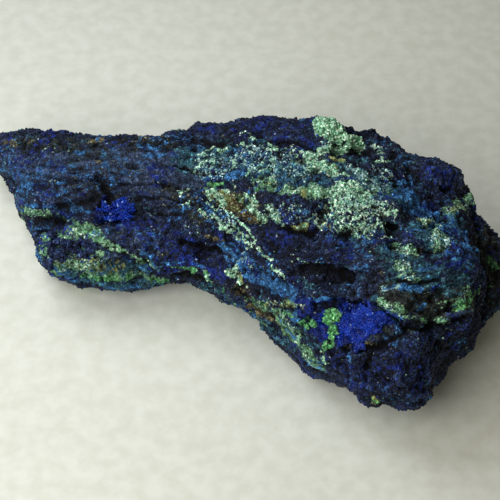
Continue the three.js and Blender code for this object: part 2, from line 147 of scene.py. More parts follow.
def new_material(name):
    """A material with its nodes, whose main shader is returned with it."""
    made = bpy.data.materials.new(name)
    made.use_nodes = True
    return made, made.node_tree.nodes["Principled BSDF"]


def mesh_of(name, shape):
    """The mesh of a finished shape, which is given up."""
    mesh = bpy.data.meshes.new(name)
    shape.to_mesh(mesh)
    shape.free()
    return mesh


def new_piece(name, mesh):
    """An object at the origin that holds a mesh already in its place."""
    made = bpy.data.objects.new(name, mesh)
    bpy.context.collection.objects.link(made)
    return made


foam, foam_shader = new_material("packing_foam")
foam_nodes = foam.node_tree
foam_place = add_node(foam_nodes, "ShaderNodeTexCoord").outputs["Object"]
foam_mottle = add_node(foam_nodes, "ShaderNodeTexNoise", {"Vector": foam_place, "Scale": FOAM_MOTTLE})
foam_colour = add_ramp(foam_nodes, foam_mottle.outputs["Fac"], [(0.35, FOAM_DARK), (0.65, FOAM_LIGHT)])
foam_nodes.links.new(foam_colour, foam_shader.inputs["Base Color"])
foam_shader.inputs["Roughness"].default_value = FOAM_ROUGHNESS

floor_shape = bmesh.new()
bmesh.ops.create_grid(floor_shape, x_segments=1, y_segments=1, size=FLOOR_HALF)
floor_mesh = mesh_of("floor", floor_shape)
floor_mesh.materials.append(foam)
floor = new_piece("floor", floor_mesh)

# The light is a soft lamp at the left and high up, so the floor and the lump are brighter at the left,
# and the right-hand end falls into shade. A weak second light and a warm room fill the dark side.
LIGHTS = [
    ("lamp", (-140, 80, 235), 200, 0.44, (248, 252, 255)),
    ("fill", (-115, -145, 200), 220, 0.48, (252, 250, 244)),
]
LIGHTS_AIM = Vector((0, 0, 12)) * MM
ROOM_COLOUR = (244, 234, 212)
ROOM_STRENGTH = 0.18

for light_name, light_place, light_size, light_power, light_colour in LIGHTS:
    light_data = bpy.data.lights.new(light_name, "AREA")
    light_data.shape = "DISK"
    light_data.size = light_size * MM
    light_data.energy = light_power
    light_data.color = pigment(*light_colour)[:3]
    light = bpy.data.objects.new(light_name, light_data)
    light.location = Vector(light_place) * MM
    light.rotation_euler = (LIGHTS_AIM - light.location).to_track_quat("-Z", "Y").to_euler()
    bpy.context.collection.objects.link(light)

room = bpy.data.worlds.new("room")
room.use_nodes = True
room.node_tree.nodes["Background"].inputs["Color"].default_value = pigment(*ROOM_COLOUR)
room.node_tree.nodes["Background"].inputs["Strength"].default_value = ROOM_STRENGTH
bpy.context.scene.world = room

# The lump itself: azurite, malachite and iron-stained rock, grown together as one mass. Its skin is
# drawn over the solid and worked into knobs, streaks, ridges, creases and pits, all of one stone.
SKIN_VOXEL = 0.92 * MM
SKIN_WELD = 0.001 * MM
SKIN_SMOOTHING = 7
FINE_SLOPE = 0.1
# Where a line drawn over the photograph is pressed in. A row is a half width and a depth in mm, and then the
# pixels of the line, across and down by turns.
CREASES = [
    (1.3, 2.0, 275, 226, 290, 231, 305, 232, 322, 227), (1.1, 1.0, 340, 147, 350, 152, 366, 152),
    (1.5, 1.5, 205, 140, 225, 145, 240, 140), (1.4, 1.5, 258, 143, 285, 138, 300, 142, 314, 150),
    (1.0, 1.5, 392, 181, 394, 189), (1.1, 1.5, 390, 224, 396, 229), (1.0, 1.4, 422, 230, 431, 226),
    (1.0, 1.2, 420, 250, 430, 247), (1.9, 2.4, 303, 267, 318, 270, 334, 272, 348, 277),
    (1.3, 2.0, 472, 207, 478, 222, 480, 245, 484, 270, 490, 290, 482, 318),
    (1.2, 0.9, 372, 350, 367, 368, 363, 384), (1.1, 1.4, 342, 350, 365, 349, 395, 338, 420, 322),
    (2.0, 2.8, 38, 222, 50, 222, 64, 218), (1.2, 1.2, 158, 212, 170, 213, 184, 212),
    (1.8, 1.8, 100, 174, 106, 190, 113, 207), (1.3, 0.8, 60, 206, 80, 203, 98, 198),
    (1.3, 0.9, 135, 200, 165, 196, 195, 205), (1.4, 1.5, 183, 242, 199, 246, 219, 250),
    (1.7, 1.9, 178, 278, 190, 276, 203, 282),
    (1.5, 2.4, 376, 304, 386, 314, 402, 325, 424, 329, 446, 325, 470, 317),
    (1.2, 1.2, 398, 281, 418, 284, 440, 280), (2.4, 2.2, 316, 306, 340, 306, 362, 306),
    (1.5, 1.5, 233, 290, 245, 297), (1.6, 1.5, 250, 305, 262, 314, 272, 322),
    (1.2, 1.6, 443, 188, 452, 188), (1.2, 1.3, 322, 190, 324, 205, 318, 222), (0.9, 1.0, 53, 144, 55, 146),
    (0.9, 0.9, 175, 165, 200, 172, 222, 174), (0.9, 0.5, 20, 172, 60, 178, 95, 180),
    (0.9, 0.4, 0, 163, 40, 166, 80, 166, 120, 170), (0.9, 0.8, 120, 185, 160, 182, 190, 190),
]
# Where such a line stands up as a crust or a rim, in the same way.
CRUST_LINES = [
    (0.6, 0.45, 207, 205, 220, 207, 228, 211, 236, 219, 245, 226, 249, 231),
    (0.8, 0.4, 249, 231, 262, 243, 275, 258, 285, 275),
    (0.8, 0.3, 195, 212, 204, 213, 213, 219, 222, 226, 232, 232, 245, 246),
    (0.6, 0.39, 90, 222, 100, 240, 116, 248, 150, 265, 172, 272),
    (1.2, 0.45, 18, 209, 36, 210, 60, 213, 84, 220), (0.7, 0.39, 37, 250, 45, 262, 60, 275, 75, 278),
    (1.2, 0.59, 88, 236, 120, 226, 152, 234), (0.7, 0.45, 165, 265, 185, 263, 205, 267, 208, 280),
    (1.1, 0.52, 196, 235, 208, 238, 221, 240), (0.7, 0.45, 290, 301, 310, 302, 330, 299),
    (0.8, 0.52, 320, 350, 324, 360, 327, 372), (0.8, 0.52, 379, 305, 388, 312, 404, 320),
    (0.8, 0.39, 345, 156, 357, 154, 368, 156), (0.6, 0.33, 285, 250, 310, 262, 345, 268),
    (0.8, 0.39, 205, 185, 225, 184), (1.6, 0.6, 283, 190, 300, 188, 320, 194),
    (1.8, 0.45, 386, 298, 400, 311, 424, 316, 450, 310, 474, 303), (5.5, 1.3, 396, 300, 426, 306, 456, 302),
    (5.0, 2.2, 40, 230, 43, 241, 47, 250), (1.4, 0.6, 380, 291, 398, 287, 420, 291, 450, 288),
]
# What each mineral covers: a half width in mm, how thickly it lies from 0 to 1, and the pixels.
SEAMS = {
    "malachite": [
        (3.0, 1.0, 322, 128, 332, 124, 338, 134), (2.2, 1.0, 348, 138, 360, 146),
        (1.9, 0.8, 318, 152, 330, 148, 342, 152), (1.4, 0.75, 300, 151, 310, 152),
        (2.4, 0.85, 310, 160, 320, 165, 330, 169), (1.8, 0.75, 330, 170, 340, 175, 348, 177),
        (3.4, 0.44, 288, 152, 300, 160, 312, 168), (4.2, 0.8, 336, 188, 348, 188, 362, 194),
        (3.4, 0.66, 338, 200, 352, 202, 366, 204), (3.4, 0.52, 326, 212, 345, 214, 366, 214),
        (3.0, 0.56, 376, 206, 392, 212), (3.0, 0.54, 340, 226, 356, 230, 372, 228),
        (2.2, 0.46, 380, 222, 388, 228), (2.5, 0.6, 285, 189, 296, 191, 308, 189),
        (2.0, 0.7, 311, 181, 317, 187, 319, 192), (1.7, 0.85, 221, 150, 226, 148),
        (0.6, 0.85, 194, 170, 204, 163, 214, 159), (0.6, 0.85, 230, 171, 235, 164, 236, 156),
        (0.6, 0.8, 244, 177, 252, 169, 262, 163), (0.7, 0.8, 206, 150, 214, 145),
        (0.7, 0.8, 258, 184, 266, 180, 274, 176), (0.7, 0.8, 198, 156, 206, 155),
        (0.6, 0.8, 262, 146, 272, 150), (0.6, 0.75, 236, 140, 244, 144, 252, 152),
        (0.8, 0.75, 258, 170, 270, 168), (0.5, 0.8, 241, 133, 246, 131, 251, 134),
        (1.2, 0.7, 249, 137, 255, 140), (1.2, 0.6, 268, 142, 276, 150), (0.8, 0.7, 233, 160, 236, 168),
        (1.0, 0.6, 272, 160, 276, 166), (1.1, 0.75, 269, 177, 274, 182), (0.9, 1.0, 231, 184),
        (1.2, 0.5, 206, 160, 214, 166), (1.4, 0.8, 244, 194, 249, 203, 255, 212),
        (1.1, 0.75, 256, 213, 263, 216), (1.0, 0.7, 252, 196, 256, 203), (0.9, 0.7, 206, 190, 208, 198),
        (1.6, 0.66, 211, 190, 218, 196, 223, 205), (0.9, 0.5, 222, 188, 230, 190),
        (0.55, 1.0, 207, 205, 220, 207, 228, 211, 236, 219, 245, 226, 249, 231),
        (0.6, 0.8, 249, 231, 256, 243, 262, 254), (0.6, 0.72, 262, 254, 272, 260),
        (0.8, 0.6, 272, 266, 285, 276), (0.9, 0.7, 212, 217, 221, 219), (1.2, 0.7, 222, 228, 230, 231),
        (1.0, 0.6, 234, 226, 246, 236), (1.6, 0.5, 238, 236, 250, 246),
        (1.8, 0.45, 212, 214, 226, 224, 238, 234), (0.8, 0.9, 200, 211, 205, 213),
        (0.6, 0.8, 184, 205, 188, 203, 190, 207), (0.6, 0.8, 177, 190, 182, 197, 187, 188),
        (1.8, 0.5, 268, 208, 276, 215, 282, 224), (0.7, 0.8, 296, 227, 303, 225),
        (1.6, 0.4, 286, 206, 300, 208), (1.5, 0.5, 314, 218, 322, 228), (1.5, 0.45, 374, 144, 382, 154),
        (1.6, 0.5, 376, 163, 388, 162), (1.0, 0.6, 380, 238, 390, 236),
        (1.7, 0.66, 397, 244, 404, 248, 409, 252), (1.0, 0.66, 422, 221, 430, 219),
        (2.0, 0.7, 426, 226, 436, 232, 436, 242), (1.5, 0.45, 432, 240, 444, 246),
        (1.6, 0.5, 400, 264, 408, 272), (1.1, 0.55, 402, 278, 412, 277),
        (2.2, 0.4, 450, 210, 462, 206, 470, 202), (1.4, 0.5, 434, 218, 440, 226),
        (1.0, 0.5, 379, 303, 384, 306, 391, 308), (1.2, 0.3, 388, 309, 398, 313, 408, 315),
        (0.8, 0.5, 413, 329, 420, 330), (1.2, 0.85, 228, 270, 232, 277, 236, 268),
        (1.1, 0.6, 238, 278, 246, 286), (2.0, 0.36, 66, 238, 76, 228, 84, 226),
        (1.2, 0.5, 74, 232, 82, 236), (1.2, 0.34, 88, 230, 100, 242, 112, 247),
        (1.2, 0.34, 112, 248, 126, 254, 142, 262), (1.5, 0.7, 143, 262, 149, 268),
        (2.8, 0.44, 52, 258, 70, 263, 88, 267), (1.4, 0.4, 94, 262, 102, 258),
        (1.4, 0.36, 60, 270, 84, 274), (0.7, 0.3, 25, 213, 40, 213),
        (0.7, 0.5, 290, 252, 304, 262, 318, 264), (1.8, 0.5, 282, 316, 292, 332, 300, 346),
        (1.2, 0.5, 298, 344, 308, 358), (1.0, 0.75, 320, 352, 325, 366),
        (1.3, 0.4, 265, 302, 285, 306, 302, 305), (0.7, 0.9, 206, 270, 209, 279),
        (1.0, 0.4, 440, 322, 450, 325), (1.0, 0.4, 50, 180, 56, 182), (1.4, 0.3, 44, 148, 60, 152),
    ],
    "frost": [
        (5.0, 0.36, 205, 160, 225, 162, 245, 158), (4.5, 0.38, 250, 150, 262, 160, 276, 162),
        (3.5, 0.4, 206, 172, 222, 174), (3.0, 0.5, 244, 164, 254, 168), (4.5, 0.38, 285, 160, 300, 170),
        (3.0, 0.4, 276, 172, 290, 176), (3.6, 0.5, 350, 168, 366, 178, 380, 186),
        (3.5, 0.36, 340, 196, 372, 204), (3.0, 0.38, 378, 168, 388, 180), (4.0, 0.32, 268, 212, 290, 216),
        (3.0, 0.38, 216, 212, 232, 222), (2.0, 0.4, 240, 256, 252, 266), (3.0, 0.4, 432, 238, 446, 240),
        (2.4, 0.36, 400, 252, 410, 266), (2.0, 0.4, 382, 290, 396, 288), (3.0, 0.3, 300, 215, 320, 222),
        (1.4, 0.5, 325, 145, 336, 143), (3.0, 0.26, 62, 258, 100, 266), (3.0, 0.26, 300, 350, 318, 370),
        (2.6, 0.3, 190, 166, 200, 172),
    ],
    "green": [
        (2.2, 0.5, 452, 304, 466, 300, 478, 292), (1.2, 0.6, 456, 311, 470, 305),
        (1.3, 1.0, 171, 270, 184, 269, 196, 270), (1.0, 0.8, 206, 272, 214, 284, 222, 291),
        (1.3, 0.8, 151, 281, 166, 282), (1.5, 0.6, 80, 278, 104, 280, 128, 279),
        (1.9, 0.85, 326, 314, 334, 318, 338, 324), (1.5, 0.9, 331, 330, 332, 342),
        (1.3, 0.8, 325, 347, 329, 348), (1.0, 0.7, 308, 320, 311, 324), (1.8, 0.6, 490, 258, 495, 268),
        (1.6, 0.5, 484, 276, 490, 288), (1.4, 0.6, 371, 398, 380, 402), (1.2, 0.6, 300, 322, 303, 323),
        (1.2, 0.6, 142, 265, 149, 268), (1.1, 0.5, 280, 312, 296, 316), (1.0, 0.75, 208, 184, 222, 184),
        (1.2, 0.6, 292, 193, 304, 195), (1.2, 0.55, 249, 299, 254, 305), (0.9, 0.6, 263, 303, 267, 306),
        (1.8, 0.34, 396, 314, 412, 318, 426, 319), (1.4, 0.42, 84, 228, 98, 242),
        (1.6, 0.4, 120, 252, 150, 267), (1.1, 0.5, 256, 190, 266, 192), (1.2, 0.45, 344, 236, 352, 236),
        (1.2, 0.5, 390, 318, 400, 322),
    ],
    "sage": [
        (1.7, 0.9, 47, 236, 48, 246, 54, 252), (1.6, 0.9, 56, 248, 78, 251, 100, 253),
        (5.0, 0.46, 48, 252, 76, 258, 98, 266), (3.4, 0.6, 262, 306, 280, 320, 292, 336),
        (2.2, 0.6, 20, 210, 34, 212, 50, 215), (1.5, 0.5, 56, 215, 70, 218, 84, 223),
        (1.4, 0.6, 20, 216, 30, 236, 38, 252), (2.0, 0.66, 38, 250, 44, 264, 58, 275),
        (2.0, 0.6, 100, 276, 130, 277, 160, 280), (3.0, 0.95, 66, 240, 76, 228, 88, 226, 100, 240),
        (2.6, 0.85, 56, 233, 66, 234, 74, 224), (1.6, 0.9, 100, 240, 112, 247, 126, 255, 144, 263),
        (3.6, 0.76, 54, 262, 74, 265, 92, 270), (1.3, 0.7, 100, 242, 118, 250, 136, 262),
        (2.4, 0.7, 138, 264, 160, 269), (3.6, 0.84, 276, 320, 292, 338, 308, 354),
        (3.2, 0.84, 302, 348, 320, 372), (2.0, 0.56, 380, 302, 392, 307, 404, 312),
        (2.4, 0.3, 410, 316, 430, 320), (1.2, 0.6, 438, 321, 452, 323), (2.0, 0.6, 206, 188, 216, 200),
        (2.0, 0.5, 246, 298, 266, 304), (2.4, 0.55, 282, 304, 306, 306),
        (2.4, 0.45, 225, 298, 245, 310, 262, 324), (2.0, 0.55, 236, 196, 252, 208, 262, 220),
        (1.4, 0.6, 334, 157, 344, 160), (3.4, 0.95, 284, 189, 296, 190, 308, 188, 322, 190),
        (2.0, 0.9, 311, 182, 318, 190), (2.0, 0.5, 370, 164, 386, 162), (1.6, 0.5, 384, 212, 396, 212),
        (3.0, 0.7, 254, 178, 272, 188), (2.4, 0.6, 268, 208, 278, 218),
        (2.0, 0.6, 306, 156, 322, 162, 334, 168), (2.0, 0.5, 398, 262, 412, 272),
        (4.0, 0.44, 446, 308, 464, 302, 478, 292), (3.4, 0.58, 448, 210, 460, 205, 472, 200),
        (3.4, 0.54, 430, 220, 440, 232, 438, 248), (3.6, 0.5, 356, 172, 372, 182, 386, 192),
        (3.0, 0.56, 396, 240, 404, 249, 416, 252), (2.4, 0.46, 398, 264, 406, 274, 416, 280),
    ],
    "olive": [
        (5.0, 0.8, 484, 236, 492, 262, 496, 300), (7.0, 0.84, 394, 294, 430, 303, 462, 302),
        (6.0, 0.54, 4, 146, 50, 142, 100, 146), (4.5, 0.56, 120, 141, 150, 139, 170, 143),
        (5.0, 0.44, 70, 186, 104, 190, 126, 194), (4.0, 0.6, 170, 188, 186, 202, 200, 216),
        (3.4, 0.6, 234, 288, 254, 304, 280, 322), (2.0, 0.6, 150, 246, 166, 254),
        (3.0, 0.5, 372, 250, 390, 262), (3.0, 0.6, 36, 222, 50, 224, 62, 222),
        (2.4, 0.6, 176, 278, 190, 277, 204, 282), (2.4, 0.5, 348, 340, 370, 338, 392, 330),
        (4.0, 0.44, 20, 160, 80, 164, 140, 168),
    ],
    "teal": [
        (8.0, 0.62, 188, 160, 225, 160, 262, 168, 300, 172, 340, 178), (6.0, 0.5, 222, 148, 256, 146),
        (6.0, 0.74, 345, 174, 370, 182, 394, 194), (6.0, 0.66, 420, 230, 436, 238, 450, 224),
        (5.0, 0.5, 440, 262, 466, 268), (6.5, 0.56, 392, 250, 405, 270, 430, 280, 460, 280),
        (7.0, 0.45, 340, 226, 366, 228, 390, 226), (5.0, 0.5, 206, 288, 232, 300, 262, 326, 300, 350),
        (5.0, 0.62, 52, 262, 92, 268, 140, 274), (3.4, 0.7, 190, 158, 220, 160, 252, 166, 282, 172),
        (2.0, 0.6, 205, 152, 236, 150, 268, 157), (1.3, 0.7, 197, 288, 222, 296, 245, 312, 262, 326),
        (1.5, 0.5, 75, 277, 100, 281, 130, 278), (1.2, 1.0, 348, 157, 366, 158),
        (2.0, 0.5, 150, 258, 162, 267), (3.4, 0.45, 392, 262, 420, 280, 450, 284),
        (2.0, 0.5, 282, 334, 302, 354, 325, 376), (1.6, 0.5, 300, 280, 320, 292),
        (1.6, 0.45, 345, 172, 362, 178), (2.2, 0.4, 445, 236, 455, 244), (2.6, 0.4, 0, 198, 20, 200),
        (4.0, 0.6, 414, 264, 430, 272, 446, 280), (2.0, 0.7, 430, 240, 446, 246),
        (1.0, 0.9, 405, 278, 413, 276), (1.8, 0.7, 374, 298, 384, 310, 398, 318),
        (2.0, 0.55, 300, 332, 312, 344, 322, 360), (3.0, 0.78, 50, 268, 76, 280, 120, 287, 160, 284),
        (3.0, 0.5, 456, 272, 462, 296),
    ],
    "azure": [
        (7.0, 0.4, 20, 176, 70, 172, 130, 172), (6.0, 0.5, 10, 172, 26, 192),
        (6.0, 0.46, 232, 252, 262, 276, 286, 292), (6.0, 0.6, 405, 196, 424, 212, 440, 226),
        (5.0, 0.48, 450, 226, 460, 246), (6.0, 0.3, 175, 225, 160, 240), (6.0, 0.3, 30, 200, 70, 196),
        (0.9, 1.0, 76, 150, 83, 150), (1.3, 0.6, 145, 155, 165, 155), (0.8, 0.8, 103, 155),
        (1.4, 0.6, 2, 170, 14, 174, 25, 180), (1.1, 0.8, 17, 205, 25, 212),
        (1.2, 0.6, 16, 204, 30, 205, 60, 207, 92, 211), (2.6, 0.42, 88, 236, 120, 226, 152, 232),
        (1.5, 0.8, 38, 250, 46, 264, 62, 277, 78, 283), (1.0, 0.9, 125, 262, 129, 264),
        (1.7, 0.95, 221, 247, 232, 250), (1.6, 0.8, 236, 236, 241, 240), (3.2, 0.78, 234, 254, 246, 264),
        (3.4, 0.74, 250, 272, 264, 280), (3.6, 0.82, 264, 282, 280, 288, 292, 294),
        (0.9, 0.9, 165, 264, 185, 262, 205, 266), (1.2, 0.75, 290, 299, 310, 301, 330, 298),
        (1.1, 0.9, 398, 183, 411, 184), (1.9, 0.85, 406, 194, 416, 198), (1.9, 0.85, 420, 208, 428, 214),
        (1.6, 0.9, 458, 222, 464, 232, 466, 245), (2.0, 0.5, 448, 254, 458, 258, 468, 262),
        (1.2, 0.8, 136, 286, 141, 287), (1.6, 0.6, 143, 254, 151, 258), (1.2, 0.7, 395, 197, 404, 192),
        (1.4, 0.3, 434, 238, 446, 242), (1.8, 0.5, 310, 362, 320, 370), (1.4, 0.5, 386, 324, 400, 320),
        (1.4, 0.7, 296, 308, 294, 320), (1.2, 0.5, 255, 250, 262, 254), (3.0, 0.4, 24, 190, 60, 192),
        (2.4, 0.4, 115, 160, 145, 165), (2.6, 0.4, 14, 178, 40, 184),
        (1.6, 0.8, 202, 178, 222, 176, 240, 173), (2.0, 0.6, 238, 150, 252, 158),
        (1.2, 0.8, 100, 285, 134, 289), (2.0, 0.5, 208, 208, 222, 214), (2.4, 0.45, 418, 264, 436, 276),
        (1.4, 0.8, 384, 288, 400, 286, 420, 288),
    ],
    "royal": [
        (7.0, 0.45, 110, 215, 150, 232, 190, 255), (5.0, 0.4, 300, 312, 350, 320, 370, 318),
        (6.0, 0.4, 5, 155, 40, 158), (7.0, 0.36, 230, 128, 280, 124, 315, 132),
        (6.0, 0.4, 420, 205, 440, 215), (8.0, 0.36, 350, 380, 400, 372, 430, 350),
        (5.0, 0.4, 196, 256, 222, 272), (6.0, 0.44, 430, 175, 450, 180),
        (4.0, 0.75, 303, 308, 312, 322, 324, 332), (1.8, 0.8, 312, 304, 330, 303, 352, 306, 372, 306),
        (2.2, 0.9, 105, 202, 118, 214, 130, 224), (1.4, 0.8, 181, 255, 191, 258),
        (1.4, 0.85, 163, 271, 174, 274), (0.9, 0.9, 180, 266, 194, 265), (1.1, 0.9, 209, 266, 218, 278),
        (1.0, 0.8, 221, 272, 226, 277), (0.9, 0.8, 125, 260, 130, 264),
        (3.4, 0.95, 342, 322, 362, 320, 378, 318), (1.8, 1.0, 380, 316, 390, 318, 398, 318),
        (3.0, 0.7, 304, 312, 318, 326), (1.6, 0.6, 388, 369, 400, 366), (1.0, 0.9, 396, 355, 400, 354),
        (1.4, 0.6, 350, 388, 361, 386), (1.6, 0.5, 420, 206, 430, 204), (2.4, 0.35, 120, 240, 150, 248),
        (2.6, 0.4, 0, 154, 28, 156), (2.0, 0.5, 296, 302, 304, 308), (3.4, 0.3, 400, 370, 430, 360),
        (1.6, 0.5, 460, 262, 470, 270), (2.6, 0.32, 300, 130, 318, 134),
    ],
    "limonite": [
        (2.6, 0.4, 136, 137, 150, 136, 166, 138), (2.0, 0.9, 0, 142, 14, 143),
        (6.0, 0.26, 100, 165, 150, 180, 190, 200), (4.0, 0.24, 170, 206, 196, 214, 206, 228),
        (3.0, 0.5, 236, 289, 248, 294), (4.2, 0.66, 250, 304, 264, 312, 280, 322),
        (2.0, 0.85, 208, 190, 222, 197, 236, 202), (6.0, 0.22, 250, 190, 300, 180, 370, 176),
        (3.8, 0.85, 222, 197, 238, 200, 252, 211), (2.6, 0.85, 228, 206, 240, 212, 254, 219),
        (1.5, 0.85, 4, 142, 17, 143), (1.0, 0.8, 90, 140, 105, 140), (1.5, 0.75, 140, 135, 163, 134),
        (1.0, 0.7, 26, 141, 32, 142), (0.8, 0.9, 205, 236, 213, 239, 223, 241),
        (2.0, 0.5, 233, 289, 245, 296), (2.2, 0.6, 250, 305, 262, 314, 273, 322),
        (1.2, 0.34, 342, 346, 362, 344, 382, 344), (0.8, 0.8, 12, 175, 18, 175), (0.7, 0.8, 62, 183),
        (0.9, 0.7, 30, 219, 33, 221), (2.0, 0.45, 316, 218, 330, 228), (1.6, 0.4, 368, 176, 380, 174),
        (1.2, 0.5, 303, 176, 312, 172), (1.6, 0.5, 70, 266, 84, 262), (1.4, 0.5, 372, 396, 376, 402),
        (1.4, 0.4, 420, 250, 432, 246), (1.8, 0.3, 152, 246, 162, 252),
    ],
    "ochre": [
        (1.8, 0.66, 209, 194, 218, 192, 226, 198), (1.2, 0.5, 228, 204, 240, 210),
        (1.2, 0.7, 332, 158, 344, 158), (1.3, 0.8, 300, 188, 305, 196), (1.3, 0.9, 293, 229, 304, 225),
        (3.5, 0.42, 60, 262, 90, 264, 120, 268), (1.3, 0.7, 238, 274, 244, 282),
        (1.8, 0.45, 266, 304, 300, 308), (1.9, 0.5, 316, 222, 332, 226), (1.4, 0.4, 420, 220, 432, 221),
        (1.2, 0.6, 452, 210, 461, 207), (1.0, 0.7, 373, 398, 378, 400), (1.8, 0.35, 400, 264, 414, 272),
        (1.4, 0.45, 322, 164, 338, 168), (1.3, 0.4, 62, 240, 72, 236), (1.2, 0.5, 258, 180, 270, 182),
        (0.9, 0.6, 141, 134, 150, 133), (1.2, 0.35, 300, 336, 308, 344),
    ],
    "dull": [
        (6.0, 0.6, 130, 178, 150, 184, 172, 192), (4.0, 0.5, 138, 194, 156, 202, 172, 208),
        (3.6, 0.6, 104, 254, 118, 262, 132, 272), (3.0, 0.5, 104, 226, 124, 236, 144, 246),
        (7.0, 0.75, 0, 168, 50, 164, 110, 160, 160, 164, 195, 178), (4.0, 0.6, 85, 238, 115, 232, 150, 240),
        (4.0, 0.55, 5, 205, 40, 196, 80, 192), (5.0, 0.4, 130, 215, 160, 215, 190, 225),
        (3.4, 0.5, 385, 262, 420, 270, 468, 284), (3.5, 0.4, 140, 250, 175, 248),
        (3.0, 0.35, 230, 128, 280, 126), (2.6, 0.4, 60, 270, 100, 274), (6.0, 0.5, 436, 172, 456, 186),
    ],
}
# Where the stone's grain runs one way: half width in mm, how long it is drawn from 0 to 1, the direction,
# a point on it in mm, and pixels.
RUNS = [
    (15.0, 0.4, (0.98, -0.18, 0.0), (-44, 10, 24), [(0, 170), (60, 175), (120, 180), (180, 192)]),
    (6.0, 0.3, (0.6, -0.78, 0.12), (0, -8, 28), [(205, 205), (235, 235), (262, 262), (285, 285)]),
    (8.0, 0.75, (0.96, 0.2, 0.18), (41, -26, 36), [(385, 268), (420, 285), (470, 298)]),
    (4.5, 0.7, (0.99, -0.1, 0.0), (17, -16, 37), [(285, 254), (320, 260), (370, 260)]),
    (7.0, 0.6, (0.98, -0.12, 0.0), (16, 30, 32), [(215, 132), (265, 124), (320, 128), (380, 145)]),
    (6.0, 0.65, (0.7, -0.7, 0.0), (18, -38, 18), [(275, 330), (300, 352), (328, 378)]),
]
# Where deep cracks, hollows and the far right-hand side are darkened with painted shade, in the same way.
SHADE_LINES = [
    (3.4, 0.5, 236, 290, 250, 301), (2.0, 0.8, 137, 198, 139, 212, 142, 222),
    (2.0, 0.7, 158, 212, 170, 213, 184, 212), (2.0, 0.7, 100, 174, 106, 190, 113, 207),
    (2.6, 0.7, 62, 206, 80, 203, 98, 199), (2.8, 0.85, 38, 222, 50, 222, 64, 219),
    (1.8, 0.6, 183, 242, 200, 248, 219, 250), (2.0, 0.7, 178, 278, 190, 277, 203, 282),
    (1.5, 0.7, 275, 226, 290, 231, 305, 232, 322, 227), (2.2, 0.75, 303, 268, 320, 271, 338, 274),
    (1.5, 0.8, 472, 207, 478, 222, 480, 245), (5.0, 0.5, 492, 262, 494, 290, 490, 312),
    (1.2, 0.6, 392, 181, 395, 189), (1.3, 0.5, 390, 223, 396, 230),
    (1.5, 0.75, 402, 326, 424, 330, 446, 326, 470, 318), (1.4, 0.6, 441, 188, 455, 189),
    (1.2, 0.6, 422, 230, 431, 226), (1.6, 0.6, 342, 351, 365, 350, 395, 338, 420, 324),
    (1.3, 0.3, 371, 350, 367, 368), (1.6, 0.6, 338, 142, 350, 150, 366, 150),
    (2.2, 0.7, 196, 139, 212, 143, 230, 140), (1.6, 0.4, 258, 143, 285, 138, 300, 142),
    (1.2, 0.4, 183, 178, 200, 180),
]
# A stroke's steps, its wander and the length of its bends, in pixels, and its mean width, how uneven it is
# and how soon it reaches its strength, as shares.
STROKE_STEP = 1.5
STROKE_WANDER, STROKE_BEND = 2.2, 7.0
STROKE_WIDTH, STROKE_UNEVEN, STROKE_FILL = 0.9, 0.6, 1.6
# A point of the skin counts as seen if nothing lies more than this many mm in front of it.
SIGHT_SLACK = 1.2
# The relief from coarse to fine: how large each form is, and how far it stands out or in, in mm.
SKIN_INSET = 0.45
LUMP_SIZE, LUMP_HEIGHT = 8.0, 1.3
CRAG_SIZE, CRAG_HEIGHT = 4.4, 0.55
SPLINTER_SIZE, SPLINTER_HEIGHT = 1.9, 0.34
SPLINTER_OFFSET = Vector((4.0, 7.0, 1.0))
KNOB_SIZE, KNOB_HEIGHT = 2.5, 0.5
GRANULE_SIZE, GRANULE_HEIGHT = 1.05, 0.26
KNOBBY_LEAST = 0.25
COARSE_LIMIT = 0.5
KNOB_REACH, GRANULE_REACH = 0.8, 0.75
MALACHITE_RISE, MALACHITE_GRANULES = 0.2, 1.4
PIT_SIZE, PIT_DEPTH, PIT_START, PIT_SLOPE = 4.2, 1.5, 0.38, 3
PIT_OFFSET = Vector((9.0, 5.0, 2.0))
CRUST_BREAK, CRUST_WHOLE, CRUST_GAPS = 1.8, 0.65, 1.1
CRUST_OFFSET = Vector((2.0, 8.0, 6.0))
CREST_WORN, CREST_SLOPE = 0.75, 3.2
RELIEF_ROUNDS = 10
BOX_MARGIN = 0.5 * MM


def apply_modifiers(piece):
    """Makes a piece's mesh the one that its modifiers show, and takes the modifiers off."""
    bpy.context.view_layer.update()
    shown = piece.evaluated_get(bpy.context.evaluated_depsgraph_get())
    mesh = bpy.data.meshes.new_from_object(shown)
    piece.modifiers.clear()
    piece.data = mesh
    mesh.name = piece.name


def node_copy(name, node_name):
    """A new piece with the welded mesh of a solid of the frame."""
    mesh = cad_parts[node_name].data.copy()
    mesh.materials.clear()
    welded = bmesh.new()
    welded.from_mesh(mesh)
    bmesh.ops.remove_doubles(welded, verts=welded.verts, dist=SKIN_WELD)
    welded.to_mesh(mesh)
    welded.free()
    return new_piece(name, mesh)


def drawn_over(piece, voxel, smoothing):
    """Draws an even, slightly softened net of faces over a piece."""
    net = piece.modifiers.new("net", "REMESH")
    net.mode = "VOXEL"
    net.voxel_size = voxel
    soften = piece.modifiers.new("soften", "SMOOTH")
    soften.factor = 0.5
    soften.iterations = smoothing
    apply_modifiers(piece)


skin = node_copy("rock_skin", "rock")
drawn_over(skin, SKIN_VOXEL, SKIN_SMOOTHING)

# The upper faces get a net twice as fine as the underside's.
finer = bmesh.new()
finer.from_mesh(skin.data)
upper = [face for face in finer.faces if max(face.normal.z, face.normal.dot(-sight)) > FINE_SLOPE]
upper_edges = list(dict.fromkeys(edge for face in upper for edge in face.edges))
bmesh.ops.subdivide_edges(finer, edges=upper_edges, cuts=1, use_grid_fill=True)
bmesh.ops.triangulate(finer, faces=[face for face in finer.faces if len(face.verts) > 4])
finer.normal_update()
finer.to_mesh(skin.data)
finer.free()

